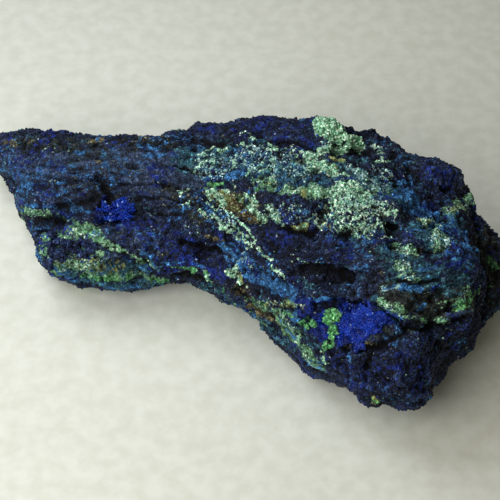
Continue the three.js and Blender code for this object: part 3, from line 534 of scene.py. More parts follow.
skin_count = len(skin.data.vertices)
skin_places = np.empty(skin_count * 3)
skin.data.vertices.foreach_get("co", skin_places)
skin_places = skin_places.reshape(-1, 3)
skin_normals = [vertex.normal.copy() for vertex in skin.data.vertices]
skin_tree = BVHTree.FromObject(skin, bpy.context.evaluated_depsgraph_get())
skin_points = kdtree.KDTree(skin_count)
for number, place in enumerate(skin_places):
    skin_points.insert(place, number)
skin_points.balance()


def seen_at(u, v):
    """The point of the bare skin that the photograph shows at a pixel, with its outward direction."""
    place, outward, _, _ = skin_tree.ray_cast(eye, sight_line(u, v))
    return place, outward


# noise_vector takes its offsets from a seed, which is a new one in each run unless it is set.
STROKE_SEED = 1
noise.seed_set(STROKE_SEED)


def along(path):
    """Pixels a short step apart along a line drawn over the photograph, which wanders a little."""
    if len(path) == 1:
        yield path[0]
    for (u0, v0), (u1, v1) in zip(path, path[1:]):
        steps = max(1, round(math.hypot(u1 - u0, v1 - v0) / STROKE_STEP))
        for step in range(steps + 1):
            u, v = u0 + (u1 - u0) * step / steps, v0 + (v1 - v0) * step / steps
            wander = noise.noise_vector(Vector((u, v, 0.5)) / STROKE_BEND) * STROKE_WANDER
            yield u + wander.x, v + wander.y


def strokes(rows):
    """The half width, the value and the line of each row of a table, with its pixels in pairs."""
    for half_width, value, *pixels in rows:
        yield half_width, value, list(zip(pixels[::2], pixels[1::2]))


def beside(half_width, path):
    """How near each vertex is to a line drawn over the photograph, from 0 at its edge to 1."""
    nearness = {}
    for u, v in along(path):
        place, _ = seen_at(u, v)
        if place is None:
            continue
        uneven = noise.noise(Vector((u, v, 7.5)) / STROKE_BEND)
        reach = half_width * MM * (STROKE_WIDTH + STROKE_UNEVEN * uneven)
        for _, number, distance in skin_points.find_range(place, reach):
            nearness[number] = max(nearness.get(number, 0), 1 - distance / reach)
    return {number: near * near * (3 - 2 * near) for number, near in nearness.items()}


def painted(seams):
    """How thickly a mineral lies at each vertex of the skin."""
    cover = np.zeros(skin_count)
    for half_width, strength, path in strokes(seams):
        for number, near in beside(half_width, path).items():
            cover[number] = max(cover[number], strength * min(1, near * STROKE_FILL))
    return cover


def in_view(place):
    """Whether the photograph shows this point of the skin."""
    towards = place - eye
    hit, _, _, distance = skin_tree.ray_cast(eye, towards.normalized())
    return hit is not None and abs(distance - towards.length) < SIGHT_SLACK * MM


def rounded(distance, reach):
    """The profile of a rounded knob around a point."""
    return max(0.0, 1 - (distance / reach) ** 2)


masks = {mineral: painted(seams) for mineral, seams in SEAMS.items()}
# Painted shade for the deep cracks and hollows.
masks["dark"] = painted(SHADE_LINES)
pressed = np.zeros(skin_count)
for half_width, depth, path in strokes(CREASES):
    for number, near in beside(half_width, path).items():
        pressed[number] = min(pressed[number], -depth * near)
raised = np.zeros(skin_count)
for half_width, height, path in strokes(CRUST_LINES):
    for number, near in beside(half_width, path).items():
        raised[number] = max(raised[number], height * near)

# Besides what the photograph shows, every part of the surface has patches of the same minerals. They
# are thin lace on the side that is seen, and full patches on the far sides. Each has a size in mm, the
# level it starts at, its strength on the seen and the far sides, and an offset.
PATCHES = {
    "malachite": (9.0, 0.2, 0.06, 0.85, 3.1), "teal": (12.0, 0.16, 0.32, 0.65, 17.3),
    "azure": (7.0, 0.2, 0.4, 0.8, 29.9), "frost": (8.0, 0.3, 0.06, 0.6, 97.1),
    "sage": (10.0, 0.3, 0.2, 0.6, 71.3), "olive": (9.0, 0.2, 0.34, 0.6, 59.6),
    "limonite": (7.0, 0.3, 0.2, 0.8, 41.7), "dull": (13.0, 0.05, 0.42, 0.7, 53.2),
    "green": (6.0, 0.4, 0.06, 0.7, 67.5), "royal": (8.0, 0.16, 0.44, 0.6, 83.4),
}
# How much finer and weaker the detail of a patch is, how steep its edge, and how soon a face that leans
# away counts as a far side.
PATCH_FINER, PATCH_DETAIL, PATCH_EDGE = 2.7, 0.5, 4
TURNED_RATE = 2.5
# Malachite has a rim of teal, this share as thick and at most so thick.
TEAL_SHARE, TEAL_MOST = 0.7, 0.46


def ridged(place):
    """Noise with crests that are a little worn."""
    return min(CREST_WORN, 1 - CREST_SLOPE * abs(noise.noise(place)))


# Each vertex follows the run that it lies deepest in, and follows it less where two runs meet. At this
# rate it soon follows it in full.
RUN_MEETING = 1.5
run_places = skin_places / MM
deepest, next_deepest = np.zeros(skin_count), np.zeros(skin_count)
for half_width, grip, direction, centre, path in RUNS:
    along_run = np.array(Vector(direction).normalized())
    for number, near in beside(half_width, path).items():
        if near <= deepest[number]:
            next_deepest[number] = max(next_deepest[number], near)
            continue
        deepest[number], next_deepest[number] = near, deepest[number]
        place = skin_places[number] / MM
        run_places[number] = place - along_run * np.dot(place - np.array(centre), along_run) * grip
run_share = np.minimum(1, (deepest - next_deepest) * RUN_MEETING)

moved = skin_places.copy()
lowest, highest = (Vector(corner) for corner in cad_box)
for number, place in enumerate(skin_places):
    spot = Vector(place)
    outward = skin_normals[number]
    at = spot / MM
    run = Vector(run_places[number])
    turned_away = 0.0 if in_view(spot) else min(1.0, max(0.0, outward.dot(sight) * TURNED_RATE))
    for mineral, (size, start, seen_strength, far_strength, offset) in PATCHES.items():
        patch = noise.noise(at / size + Vector((offset, 0, 0)))
        patch += PATCH_DETAIL * noise.noise(run / size * PATCH_FINER + Vector((0, offset, 0)))
        strength = seen_strength + (far_strength - seen_strength) * turned_away
        share = min(1.0, max(0.0, (patch - start) * PATCH_EDGE + 0.5)) * strength
        masks[mineral][number] = max(masks[mineral][number], share)
    malachite = max(masks["malachite"][number], masks["green"][number], masks["frost"][number])
    masks["teal"][number] = max(masks["teal"][number], min(TEAL_MOST, malachite * TEAL_SHARE))
    knobby = KNOBBY_LEAST + (1 - KNOBBY_LEAST) * (1 - masks["dull"][number])
    height = LUMP_HEIGHT * noise.noise(at / LUMP_SIZE) - SKIN_INSET
    follow = run_share[number]
    height += CRAG_HEIGHT * (ridged(at / CRAG_SIZE) * (1 - follow) + ridged(run / CRAG_SIZE) * follow)
    splinter = ridged(at / SPLINTER_SIZE + SPLINTER_OFFSET) * (1 - follow)
    splinter += ridged(run / SPLINTER_SIZE + SPLINTER_OFFSET) * follow
    height = min(height + SPLINTER_HEIGHT * splinter * knobby, COARSE_LIMIT)
    knob = noise.voronoi(at / KNOB_SIZE)[0][0]
    height += KNOB_HEIGHT * (rounded(knob, KNOB_REACH) - 0.5) * knobby
    granule = noise.voronoi(at / GRANULE_SIZE)[0][0]
    granules = 1 + MALACHITE_GRANULES * min(1, malachite)
    height += GRANULE_HEIGHT * (rounded(granule, GRANULE_REACH) - 0.5) * granules
    pit = noise.noise(at / PIT_SIZE + PIT_OFFSET)
    height -= PIT_DEPTH * max(0.0, pit - PIT_START) * PIT_SLOPE
    broken = CRUST_WHOLE + CRUST_GAPS * noise.noise(at / CRUST_BREAK + CRUST_OFFSET)
    height += raised[number] * max(0.0, broken) + pressed[number] + MALACHITE_RISE * malachite
    spot += outward * height * MM
    for axis in range(3):
        spot[axis] = min(max(spot[axis], lowest[axis] - BOX_MARGIN), highest[axis] + BOX_MARGIN)
    spot.z = max(spot.z, 0.0)
    moved[number] = spot
skin.data.vertices.foreach_set("co", moved.ravel())
skin.data.update()

# How far each spot stands above or below the stone just around it, in mm, for painted shade and painted
# light.
edge_ends = np.empty(len(skin.data.edges) * 2, int)
skin.data.edges.foreach_get("vertices", edge_ends)
edge_ends = edge_ends.reshape(-1, 2)
neighbours = np.bincount(edge_ends.ravel(), minlength=skin_count)


def settled(values, rounds):
    """Values after each vertex has moved halfway to the mean of its neighbours, some rounds."""
    for _ in range(rounds):
        for axis in range(values.shape[1]):
            column = values[:, axis]
            total = np.bincount(edge_ends[:, 0], column[edge_ends[:, 1]], skin_count)
            total += np.bincount(edge_ends[:, 1], column[edge_ends[:, 0]], skin_count)
            values[:, axis] = 0.5 * column + 0.5 * total / neighbours
    return values


outwards = np.array([tuple(vertex.normal) for vertex in skin.data.vertices])
masks["relief"] = ((moved - settled(moved.copy(), RELIEF_ROUNDS)) * outwards).sum(1) / MM
masks["chance"] = np.full(skin_count, 0.5)


def add_layer(mesh, name, values):
    """Gives a mesh a value for each vertex, which the materials and the grains read by its name."""
    layer = mesh.attributes.new(name, "FLOAT", "POINT")
    layer.data.foreach_set("value", np.asarray(values, np.float32))


for name, cover in masks.items():
    add_layer(skin.data, name, cover)
run_layer = skin.data.attributes.new("run", "FLOAT_VECTOR", "POINT")
run_layer.data.foreach_set("vector", (run_places * MM).astype(np.float32).ravel())
skin.data.shade_smooth()

# How each mineral looks: how far its edges fray, how rough it is, and the run of colours over its
# grains, darkest first. Dark azurite is under all of them, and each lies over those before it.
AZURITE_COLOURS = [
    (0.16, (2, 4, 12)), (0.36, (11, 16, 34)), (0.57, (29, 41, 76)), (0.76, (55, 75, 122)),
    (0.9, (112, 138, 174)),
]
MINERALS = [
    ("dull", 0.8, 0.75, [
        (0.1, (28, 36, 54)), (0.4, (56, 70, 100)), (0.75, (76, 97, 134)), (1.0, (116, 140, 172))
    ]),
    ("olive", 1.0, 0.85, [
        (0.1, (19, 21, 23)), (0.4, (44, 50, 51)), (0.75, (70, 79, 77)), (1.0, (112, 122, 108))
    ]),
    ("limonite", 1.1, 0.85, [
        (0.12, (26, 23, 16)), (0.38, (74, 67, 46)), (0.64, (126, 119, 86)), (0.92, (204, 206, 166))
    ]),
    ("teal", 1.1, 0.7, [
        (0.1, (16, 36, 54)), (0.38, (42, 82, 108)), (0.72, (82, 142, 158)), (1.0, (156, 210, 212))
    ]),
    ("sage", 1.1, 0.8, [
        (0.1, (32, 60, 50)), (0.38, (80, 128, 100)), (0.64, (128, 178, 138)), (0.92, (198, 228, 184))
    ]),
    ("azure", 1.1, 0.6, [
        (0.1, (18, 44, 80)), (0.38, (46, 99, 160)), (0.7, (77, 147, 210)), (1.0, (150, 208, 232))
    ]),
    ("royal", 1.0, 0.4, [
        (0.0, (8, 16, 60)), (0.45, (22, 42, 128)), (0.85, (40, 70, 172)), (1.0, (112, 145, 214))
    ]),
    ("green", 1.1, 0.7, [
        (0.1, (20, 56, 32)), (0.38, (62, 128, 78)), (0.65, (112, 186, 122)), (0.95, (184, 236, 178))
    ]),
    ("ochre", 1.2, 0.75, [
        (0.1, (66, 68, 38)), (0.4, (122, 130, 78)), (0.7, (176, 190, 126)), (1.0, (226, 234, 192))
    ]),
    ("malachite", 1.3, 0.7, [
        (0.12, (26, 62, 58)), (0.36, (94, 152, 126)), (0.56, (172, 230, 194)), (0.78, (242, 255, 238))
    ]),
    ("frost", 1.3, 0.7, [
        (0.12, (30, 62, 78)), (0.36, (88, 142, 152)), (0.58, (156, 208, 206)), (0.8, (230, 255, 246))
    ]),
]
PALE_MINERALS = {"limonite": 0.5, "ochre": 0.6, "sage": 0.6, "malachite": 1.0, "frost": 1.0}
SPECKLED_MINERALS = ("limonite", "sage", "malachite", "frost")
AZURITE_ROUGHNESS, GRAIN_ROUGHNESS = 0.5, 0.3
# A few bare azurite grains get a painted glint of this colour.
GLINT_SHARE = 0.998
GLINT_COLOUR = (196, 212, 230)
FACE_RARITY, FACE_LIGHT, FACE_REST = 3.0, 1.3, 0.7
GRAIN_CELL = 0.42
GRAIN_LIGHT = (0.55, 1.45)
LACE_SCALE = 900.0
FINE_LACE_SCALE = 1400.0
SHADE_SCALE = 1700.0
BROAD_SCALE = LACE_SCALE * 0.3
NOISE_MIDDLE = (0.28, 0.72)
COVER_EDGE, COVER_LEAST = (0.44, 0.56), 0.02
# Standing this far below or above the stone around it, in mm, gives a spot this much painted shade or light.
RELIEF_RANGE, RELIEF_LIGHT = (-0.3, 0.36), (0.04, 1.4)
# The same for how far a spot is from the middle of its grain, in cells, as painted shade between grains.
GAP_RANGE, GAP_LIGHT = (0.3, 0.8), (1.1, 0.55)
PALE_SHADOW, PALE_LIGHT = 0.62, 1.2
GLINT_COVER = 0.75
# The painted shade of cracks and hollows: how far it darkens, and its colour.
SHADE_SHARE, SHADE_COLOUR = 0.9, (6, 7, 12)
CELL_DOME, PALE_RISE = -0.8, 0.6
BUMP_STRENGTH, CELL_BUMP = 0.9, 0.3
MINERAL_IOR, MINERAL_SPECULAR = 1.45, 0.22

crust, crust_shader = new_material("grown_minerals")
crust_nodes = crust.node_tree
crust_place = add_node(crust_nodes, "ShaderNodeTexCoord").outputs["Object"]


def add_attribute(tree, name, output="Fac"):
    """Adds a node that reads the values of a piece's layer."""
    return add_node(tree, "ShaderNodeAttribute", attribute_name=name).outputs[output]


def add_spread(tree, value, ends, new_ends=(0.0, 1.0)):
    """Adds a step that stretches the range between two ends to a new one, and clamps it there."""
    (low, high), (new_low, new_high) = ends, new_ends
    inputs = {"Value": value, "From Min": low, "From Max": high, "To Min": new_low, "To Max": new_high}
    return add_node(tree, "ShaderNodeMapRange", inputs).outputs["Result"]


def add_noise(tree, place, scale, turn, detail=5.0, rough=0.62):
    """Three unlike noises over a place, each spread out to the whole of 0 to 1. A turn gives others."""
    made = add_node(
        tree, "ShaderNodeTexNoise",
        {"Vector": place, "W": turn, "Scale": scale, "Detail": detail, "Roughness": rough},
        noise_dimensions="4D",
    )
    parts = add_node(tree, "ShaderNodeSeparateColor", {"Color": made.outputs["Color"]}).outputs
    return [add_spread(tree, part, NOISE_MIDDLE) for part in parts]


def add_cells(tree, place):
    """Adds cells of a grain's size: how far a spot is from the middle of its cell, and the cell's lots."""
    cells = add_node(tree, "ShaderNodeTexVoronoi", {"Vector": place, "Scale": 1 / (GRAIN_CELL * MM)}).outputs
    return cells["Distance"], add_node(tree, "ShaderNodeSeparateColor", {"Color": cells["Color"]}).outputs


def add_blend(tree, first, *others):
    """Adds up values, each given with its share."""
    total = add_math(tree, "MULTIPLY", *first)
    for value, share in others:
        total = add_math(tree, "MULTIPLY_ADD", value, share, total)
    return total


crust_run = add_attribute(crust_nodes, "run", "Vector")
lace = []
for lace_scale, turn in ((LACE_SCALE, 0.0), (LACE_SCALE, 4.0), (LACE_SCALE, 8.0), (FINE_LACE_SCALE, 16.0)):
    lace += add_noise(crust_nodes, crust_run, lace_scale, turn)
shades = add_noise(crust_nodes, crust_place, SHADE_SCALE, 2.0, detail=3.0)
streaks = add_noise(crust_nodes, crust_run, SHADE_SCALE, 6.0, detail=4.0)
broad = add_noise(crust_nodes, crust_run, BROAD_SCALE, 12.0, detail=3.0)
cell_distance, cell_lots = add_cells(crust_nodes, crust_place)
grain_lot = add_attribute(crust_nodes, "chance")

# The shade of a grain is about a third its own, and the rest comes from the noise around it.
shade = add_blend(crust_nodes, (streaks[2], 0.4), (cell_lots["Red"], 0.35), (broad[0], 0.25))
streaked = add_blend(crust_nodes, (shades[1], 0.3), (streaks[0], 0.7))
speckled = add_blend(crust_nodes, (shades[0], 0.6), (cell_lots["Blue"], 0.4))
colour = add_ramp(crust_nodes, shade, AZURITE_COLOURS)
crust_lift = covered = 0.0
roughness = add_math(crust_nodes, "MULTIPLY_ADD", cell_lots["Green"], GRAIN_ROUGHNESS, AZURITE_ROUGHNESS)
for number, (mineral, fray, mineral_roughness, stops) in enumerate(MINERALS):
    cover = add_attribute(crust_nodes, mineral)
    edge = streaks[1] if mineral == "dull" else lace[number]
    own = add_blend(crust_nodes, (edge, 0.75), (cell_lots["Blue"], 0.25))
    share = add_math(crust_nodes, "MULTIPLY_ADD", add_math(crust_nodes, "SUBTRACT", own, 0.5), fray, cover)
    grown = add_spread(crust_nodes, share, COVER_EDGE)
    present = add_math(crust_nodes, "GREATER_THAN", cover, COVER_LEAST)
    grown = add_math(crust_nodes, "MULTIPLY", grown, present)
    if mineral == "dull":
        own_shade = streaked
    else:
        own_shade = speckled if mineral in SPECKLED_MINERALS else shade
    if mineral in PALE_MINERALS:
        lifted = add_math(crust_nodes, "MULTIPLY", grown, PALE_MINERALS[mineral])
        crust_lift = add_math(crust_nodes, "MAXIMUM", lifted, crust_lift)
    if mineral != "royal":
        covered = add_math(crust_nodes, "MAXIMUM", grown, covered)
    own_colour = add_ramp(crust_nodes, own_shade, stops)
    colour = add_mix(crust_nodes, grown, colour, own_colour)
    rougher = add_math(crust_nodes, "SUBTRACT", mineral_roughness, roughness)
    roughness = add_math(crust_nodes, "MULTIPLY_ADD", rougher, grown, roughness)

# Crevices get painted shade, the tops of the knobs painted light, and a few grains a painted glint.
relief_light_and_shade = add_spread(crust_nodes, add_attribute(crust_nodes, "relief"), RELIEF_RANGE, RELIEF_LIGHT)
gap = add_spread(crust_nodes, cell_distance, GAP_RANGE, GAP_LIGHT)
own_light = add_spread(crust_nodes, grain_lot, (0.0, 1.0), GRAIN_LIGHT)
# One grain in several lies so that it catches more light than those around it.
bright_face = add_math(crust_nodes, "POWER", cell_lots["Green"], FACE_RARITY)
face_light = add_math(crust_nodes, "MULTIPLY_ADD", bright_face, FACE_LIGHT, FACE_REST)
own_light = add_math(crust_nodes, "MULTIPLY", own_light, face_light)
shadow = add_math(crust_nodes, "MULTIPLY", add_math(crust_nodes, "MULTIPLY", relief_light_and_shade, gap), own_light)
# The pale minerals let light through, so the painted shade in their gaps is weaker.
pale_shadow = add_math(crust_nodes, "POWER", shadow, PALE_SHADOW)
pale_shadow = add_math(crust_nodes, "MULTIPLY", pale_shadow, PALE_LIGHT)
paler = add_math(crust_nodes, "SUBTRACT", pale_shadow, shadow)
shadow = add_math(crust_nodes, "MULTIPLY_ADD", paler, crust_lift, shadow)
colour = add_mix(crust_nodes, 1.0, colour, shadow, blend="MULTIPLY")
glint = add_math(crust_nodes, "GREATER_THAN", cell_lots["Green"], GLINT_SHARE)
uncovered = add_math(crust_nodes, "SUBTRACT", GLINT_COVER, covered, clamp=True)
glint = add_math(crust_nodes, "MULTIPLY", glint, uncovered)
colour = add_mix(crust_nodes, glint, colour, pigment(*GLINT_COLOUR))
# Painted shade darkens the cracks and hollows towards near black.
painted_crack_shade = add_math(crust_nodes, "MULTIPLY", add_attribute(crust_nodes, "dark"), SHADE_SHARE)
colour = add_mix(crust_nodes, painted_crack_shade, colour, pigment(*SHADE_COLOUR))
crust_nodes.links.new(colour, crust_shader.inputs["Base Color"])
crust_nodes.links.new(roughness, crust_shader.inputs["Roughness"])
crust_height = add_math(crust_nodes, "MULTIPLY_ADD", cell_distance, CELL_DOME, shades[2])
crust_height = add_math(crust_nodes, "MULTIPLY_ADD", crust_lift, PALE_RISE, crust_height)
crust_bump = add_node(
    crust_nodes, "ShaderNodeBump",
    {"Height": crust_height, "Strength": BUMP_STRENGTH, "Distance": CELL_BUMP * MM},
)
crust_nodes.links.new(crust_bump.outputs["Normal"], crust_shader.inputs["Normal"])
crust_shader.inputs["IOR"].default_value = MINERAL_IOR
crust_shader.inputs["Specular IOR Level"].default_value = MINERAL_SPECULAR

skin.data.materials.append(crust)
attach(skin, "root")
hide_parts("rock")

# The fine grains that stand all over the skin: angular azurite, and rounder malachite where it has
# grown over. They grew on the rock, so each is half sunk in it.
GRAIN_SPLIT_X = -12 * MM
GRAIN_FLOOR = 1.7 * MM
AZURITE_PER_MM2 = 0.8
MALACHITE_PER_MM2 = 2.6
# Round grains take over from this cover of malachite on, and few grains stand on a dull film.
OVERGROWN_FROM, OVERGROWN_RATE = 0.48, 2.4
DULL_RATE, DULL_THINNING = 1.4, 0.75


def crystal_shape(name, sides, base, top, length, seat=0.5):
    """A small tapered crystal, which is sunk in its bed by its seat, a share of its length."""
    shape = bmesh.new()
    bmesh.ops.create_cone(
        shape, cap_ends=True, segments=sides, radius1=base * MM, radius2=top * MM, depth=length * MM
    )
    bmesh.ops.translate(shape, verts=shape.verts, vec=(0, 0, (0.5 - seat) * length * MM))
    return new_piece(name, mesh_of(name, shape))


def round_shape(name, radius, divisions):
    """A small round grain."""
    shape = bmesh.new()
    bmesh.ops.create_icosphere(shape, subdivisions=divisions, radius=radius * MM)
    mesh = mesh_of(name, shape)
    mesh.shade_smooth()
    return new_piece(name, mesh)


def grown_on(name, bed, grain, density, per_mm2, smallest, largest, lean, seed):
    """A new piece: grains set at random over a bed, as thickly as the bed's attribute says."""
    tree = bpy.data.node_groups.new(name, "GeometryNodeTree")
    tree.interface.new_socket("Geometry", in_out="INPUT", socket_type="NodeSocketGeometry")
    tree.interface.new_socket("Geometry", in_out="OUTPUT", socket_type="NodeSocketGeometry")
    bed_in = tree.nodes.new("NodeGroupInput").outputs[0]
    thickness = add_node(
        tree, "GeometryNodeInputNamedAttribute", {"Name": density}, data_type="FLOAT"
    ).outputs["Attribute"]
    per_m2 = add_math(tree, "MULTIPLY", thickness, per_mm2 / MM**2)
    scatter = add_node(
        tree, "GeometryNodeDistributePointsOnFaces", {"Mesh": bed_in, "Density": per_m2, "Seed": seed}
    )
    turn = add_node(
        tree, "FunctionNodeRandomValue",
        {0: (-lean, -lean, -math.pi), 1: (lean, lean, math.pi), "Seed": seed + 1}, data_type="FLOAT_VECTOR",
    )
    turned = add_node(
        tree, "FunctionNodeRotateRotation",
        {"Rotation": scatter.outputs["Rotation"], "Rotate By": turn.outputs[0]}, rotation_space="LOCAL",
    )
    size = add_node(
        tree, "FunctionNodeRandomValue", {0: (smallest,) * 3, 1: (largest,) * 3, "Seed": seed + 2},
        data_type="FLOAT_VECTOR",
    )
    grain_in = add_node(tree, "GeometryNodeObjectInfo", {"Object": grain}).outputs["Geometry"]
    placed = add_node(
        tree, "GeometryNodeInstanceOnPoints",
        {
            "Points": scatter.outputs["Points"], "Instance": grain_in, "Rotation": turned.outputs[0],
            "Scale": size.outputs[0],
        },
    )
    lot = add_node(tree, "FunctionNodeRandomValue", {"Seed": seed + 3}, data_type="FLOAT")
    marked = add_node(
        tree, "GeometryNodeStoreNamedAttribute",
        {"Geometry": placed.outputs[0], "Name": "chance", "Value": lot.outputs["Value"]},
        data_type="FLOAT", domain="INSTANCE",
    )
    real = add_node(tree, "GeometryNodeRealizeInstances", {"Geometry": marked.outputs[0]})
    out = tree.nodes.new("NodeGroupOutput")
    tree.links.new(real.outputs[0], out.inputs[0])
    piece = new_piece(name, bed.data.copy())
    piece.modifiers.new("growth", "NODES").node_group = tree
    apply_modifiers(piece)
    return piece


overgrown = np.clip((np.maximum(masks["malachite"], masks["green"]) - OVERGROWN_FROM) * OVERGROWN_RATE, 0, 1)
above_floor = (moved[:, 2] > GRAIN_FLOOR).astype(float)
on_arm = (moved[:, 0] < GRAIN_SPLIT_X).astype(float)
bare = (1 - overgrown) * (1 - DULL_THINNING * np.clip(masks["dull"] * DULL_RATE, 0, 1)) * above_floor
add_layer(skin.data, "arm_azurite", bare * on_arm)
add_layer(skin.data, "body_azurite", bare * (1 - on_arm))
add_layer(skin.data, "malachite_growth", overgrown * above_floor)

angular = crystal_shape("angular_grain", sides=4, base=0.34, top=0.24, length=0.55)
rounded_grain = round_shape("rounded_grain", radius=0.34, divisions=1)
# Each piece has its grain, its layer, how many grains to a square mm, their least and greatest scale, how
# far they lean in radians, and a seed.
GRAIN_PIECES = [
    ("azurite_grains_arm", angular, "arm_azurite", AZURITE_PER_MM2, 0.5, 1.2, 1.2, 11),
    ("azurite_grains_body", angular, "body_azurite", AZURITE_PER_MM2, 0.5, 1.2, 1.2, 23),
    ("malachite_grains", rounded_grain, "malachite_growth", MALACHITE_PER_MM2, 0.6, 1.2, 0.6, 37),
]
for name, grain, density, per_mm2, smallest, largest, lean, seed in GRAIN_PIECES:
    grains = grown_on(name, skin, grain, density, per_mm2, smallest, largest, lean, seed)
    grains.data.materials.clear()
    grains.data.materials.append(crust)
    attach(grains, "root")
for spent in (angular, rounded_grain):
    bpy.data.objects.remove(spent)

# The two hollows are lined with crusts of bright azurite crystals: coarse blades in the long hollow
# of the arm, and a fine blue druse in the pocket on the front of the body.
CRUST_VOXEL = 0.34 * MM
DRUSE_CLOUD = 420.0
DRUSE_GRAIN = 2600.0
DRUSE_BUMP_STRENGTH, DRUSE_BUMP = 0.6, 0.25
DRUSE_COLOURS = [
    (0.12, (2, 6, 32)), (0.35, (8, 26, 100)), (0.55, (17, 54, 170)), (0.75, (40, 98, 220)),
    (0.92, (140, 188, 246)),
]
# Painted shade where a crust lies deeper: how far it darkens, and its colour.
DRUSE_SHADE_SHARE, DRUSE_SHADE_COLOUR = 0.85, (4, 5, 14)
DRUSE_ROUGHNESS, DRUSE_IOR, DRUSE_SPECULAR = 0.26, 1.5, 0.2
DRUSE_GLINT_SHARE = 0.997
DRUSE_GLINT_COLOUR = (164, 192, 236)
CRYSTAL_GLINT_SHARE = 0.93
DRUSE_GLINT, CRYSTAL_GLINT = 0.8, 0.6
# The knobs of the crusts, as sizes and heights in mm, and how their edges fray.
DRUSE_KNOBS = ((2.6, 0.8), (1.2, 0.4), (0.6, 0.16))
DRUSE_FRAY_SIZE, DRUSE_FRAY, DRUSE_RAGGED = 2.4, 0.7, 0.35
DRUSE_SMOOTHING = 2
BED_CHANCE = 0.42
# The painted shade grows with depth, reaching 1 at this many mm, and stops at this share.
SHADE_FULL_DEPTH, SHADE_MOST = 1.6, 0.9
CRYSTAL_FACING = 0.15
# The crusts sink into the rock from this share of their reach outwards, by this many mm at their edge.
DRUSE_EDGE, DRUSE_SINK = 0.58, 1.6
# They stand up to this many mm clear of the rock, and this share of what would stand higher is taken off.
DRUSE_CLEAR, DRUSE_LOWERED = 0.7, 0.75
# Where a crust lies deeper and has painted shade: a half width and a depth in mm, and pixels of the
# photograph.
DRUSE_HOLLOWS = [
    (1.8, 1.1, 310, 304, 340, 304, 368, 305), (1.2, 0.5, 350, 326, 362, 334),
    (2.2, 0.6, 304, 310, 314, 318, 320, 330), (1.2, 0.7, 388, 328, 394, 326),
    (1.8, 1.5, 342, 347, 356, 348, 370, 343, 382, 337), (2.6, 2.4, 97, 194, 99, 208, 98, 222),
    (1.1, 1.2, 119, 196, 122, 210), (1.3, 1.3, 136, 198, 136, 222),
]

druse, druse_shader = new_material("azurite_druse")
druse_nodes = druse.node_tree
druse_place = add_node(druse_nodes, "ShaderNodeTexCoord").outputs["Object"]
druse_chance = add_attribute(druse_nodes, "chance")
druse_cloud = add_noise(druse_nodes, druse_place, DRUSE_CLOUD, 1.0)
druse_fine = add_noise(druse_nodes, druse_place, DRUSE_GRAIN, 5.0, detail=2.0)
druse_shade = add_blend(druse_nodes, (druse_cloud[0], 0.35), (druse_chance, 0.4), (druse_fine[0], 0.25))
druse_colour = add_ramp(druse_nodes, druse_shade, DRUSE_COLOURS)
druse_lots = add_cells(druse_nodes, druse_place)[1]
# A few cells and a few whole crystals get a painted glint.
druse_glint = add_math(druse_nodes, "GREATER_THAN", druse_lots["Green"], DRUSE_GLINT_SHARE)
crystal_glint = add_math(druse_nodes, "GREATER_THAN", druse_chance, CRYSTAL_GLINT_SHARE)
crystal_glint = add_math(druse_nodes, "MULTIPLY", crystal_glint, CRYSTAL_GLINT)
druse_glint = add_math(druse_nodes, "MAXIMUM", druse_glint, crystal_glint)
druse_glint = add_math(druse_nodes, "MULTIPLY", druse_glint, DRUSE_GLINT)
druse_colour = add_mix(druse_nodes, druse_glint, druse_colour, pigment(*DRUSE_GLINT_COLOUR))
# Painted shade where the crust lies deeper.
druse_painted_shade = add_math(druse_nodes, "MULTIPLY", add_attribute(druse_nodes, "dark"), DRUSE_SHADE_SHARE)
druse_colour = add_mix(druse_nodes, druse_painted_shade, druse_colour, pigment(*DRUSE_SHADE_COLOUR))
druse_nodes.links.new(druse_colour, druse_shader.inputs["Base Color"])
druse_bump = add_node(
    druse_nodes, "ShaderNodeBump",
    {"Height": druse_fine[1], "Strength": DRUSE_BUMP_STRENGTH, "Distance": DRUSE_BUMP * MM},
)
druse_nodes.links.new(druse_bump.outputs["Normal"], druse_shader.inputs["Normal"])
druse_shader.inputs["Roughness"].default_value = DRUSE_ROUGHNESS
druse_shader.inputs["IOR"].default_value = DRUSE_IOR
druse_shader.inputs["Specular IOR Level"].default_value = DRUSE_SPECULAR

blade = crystal_shape("blade", sides=6, base=0.36, top=0.22, length=1.0, seat=0.4)
speck = crystal_shape("speck", sides=5, base=0.2, top=0.14, length=0.34)
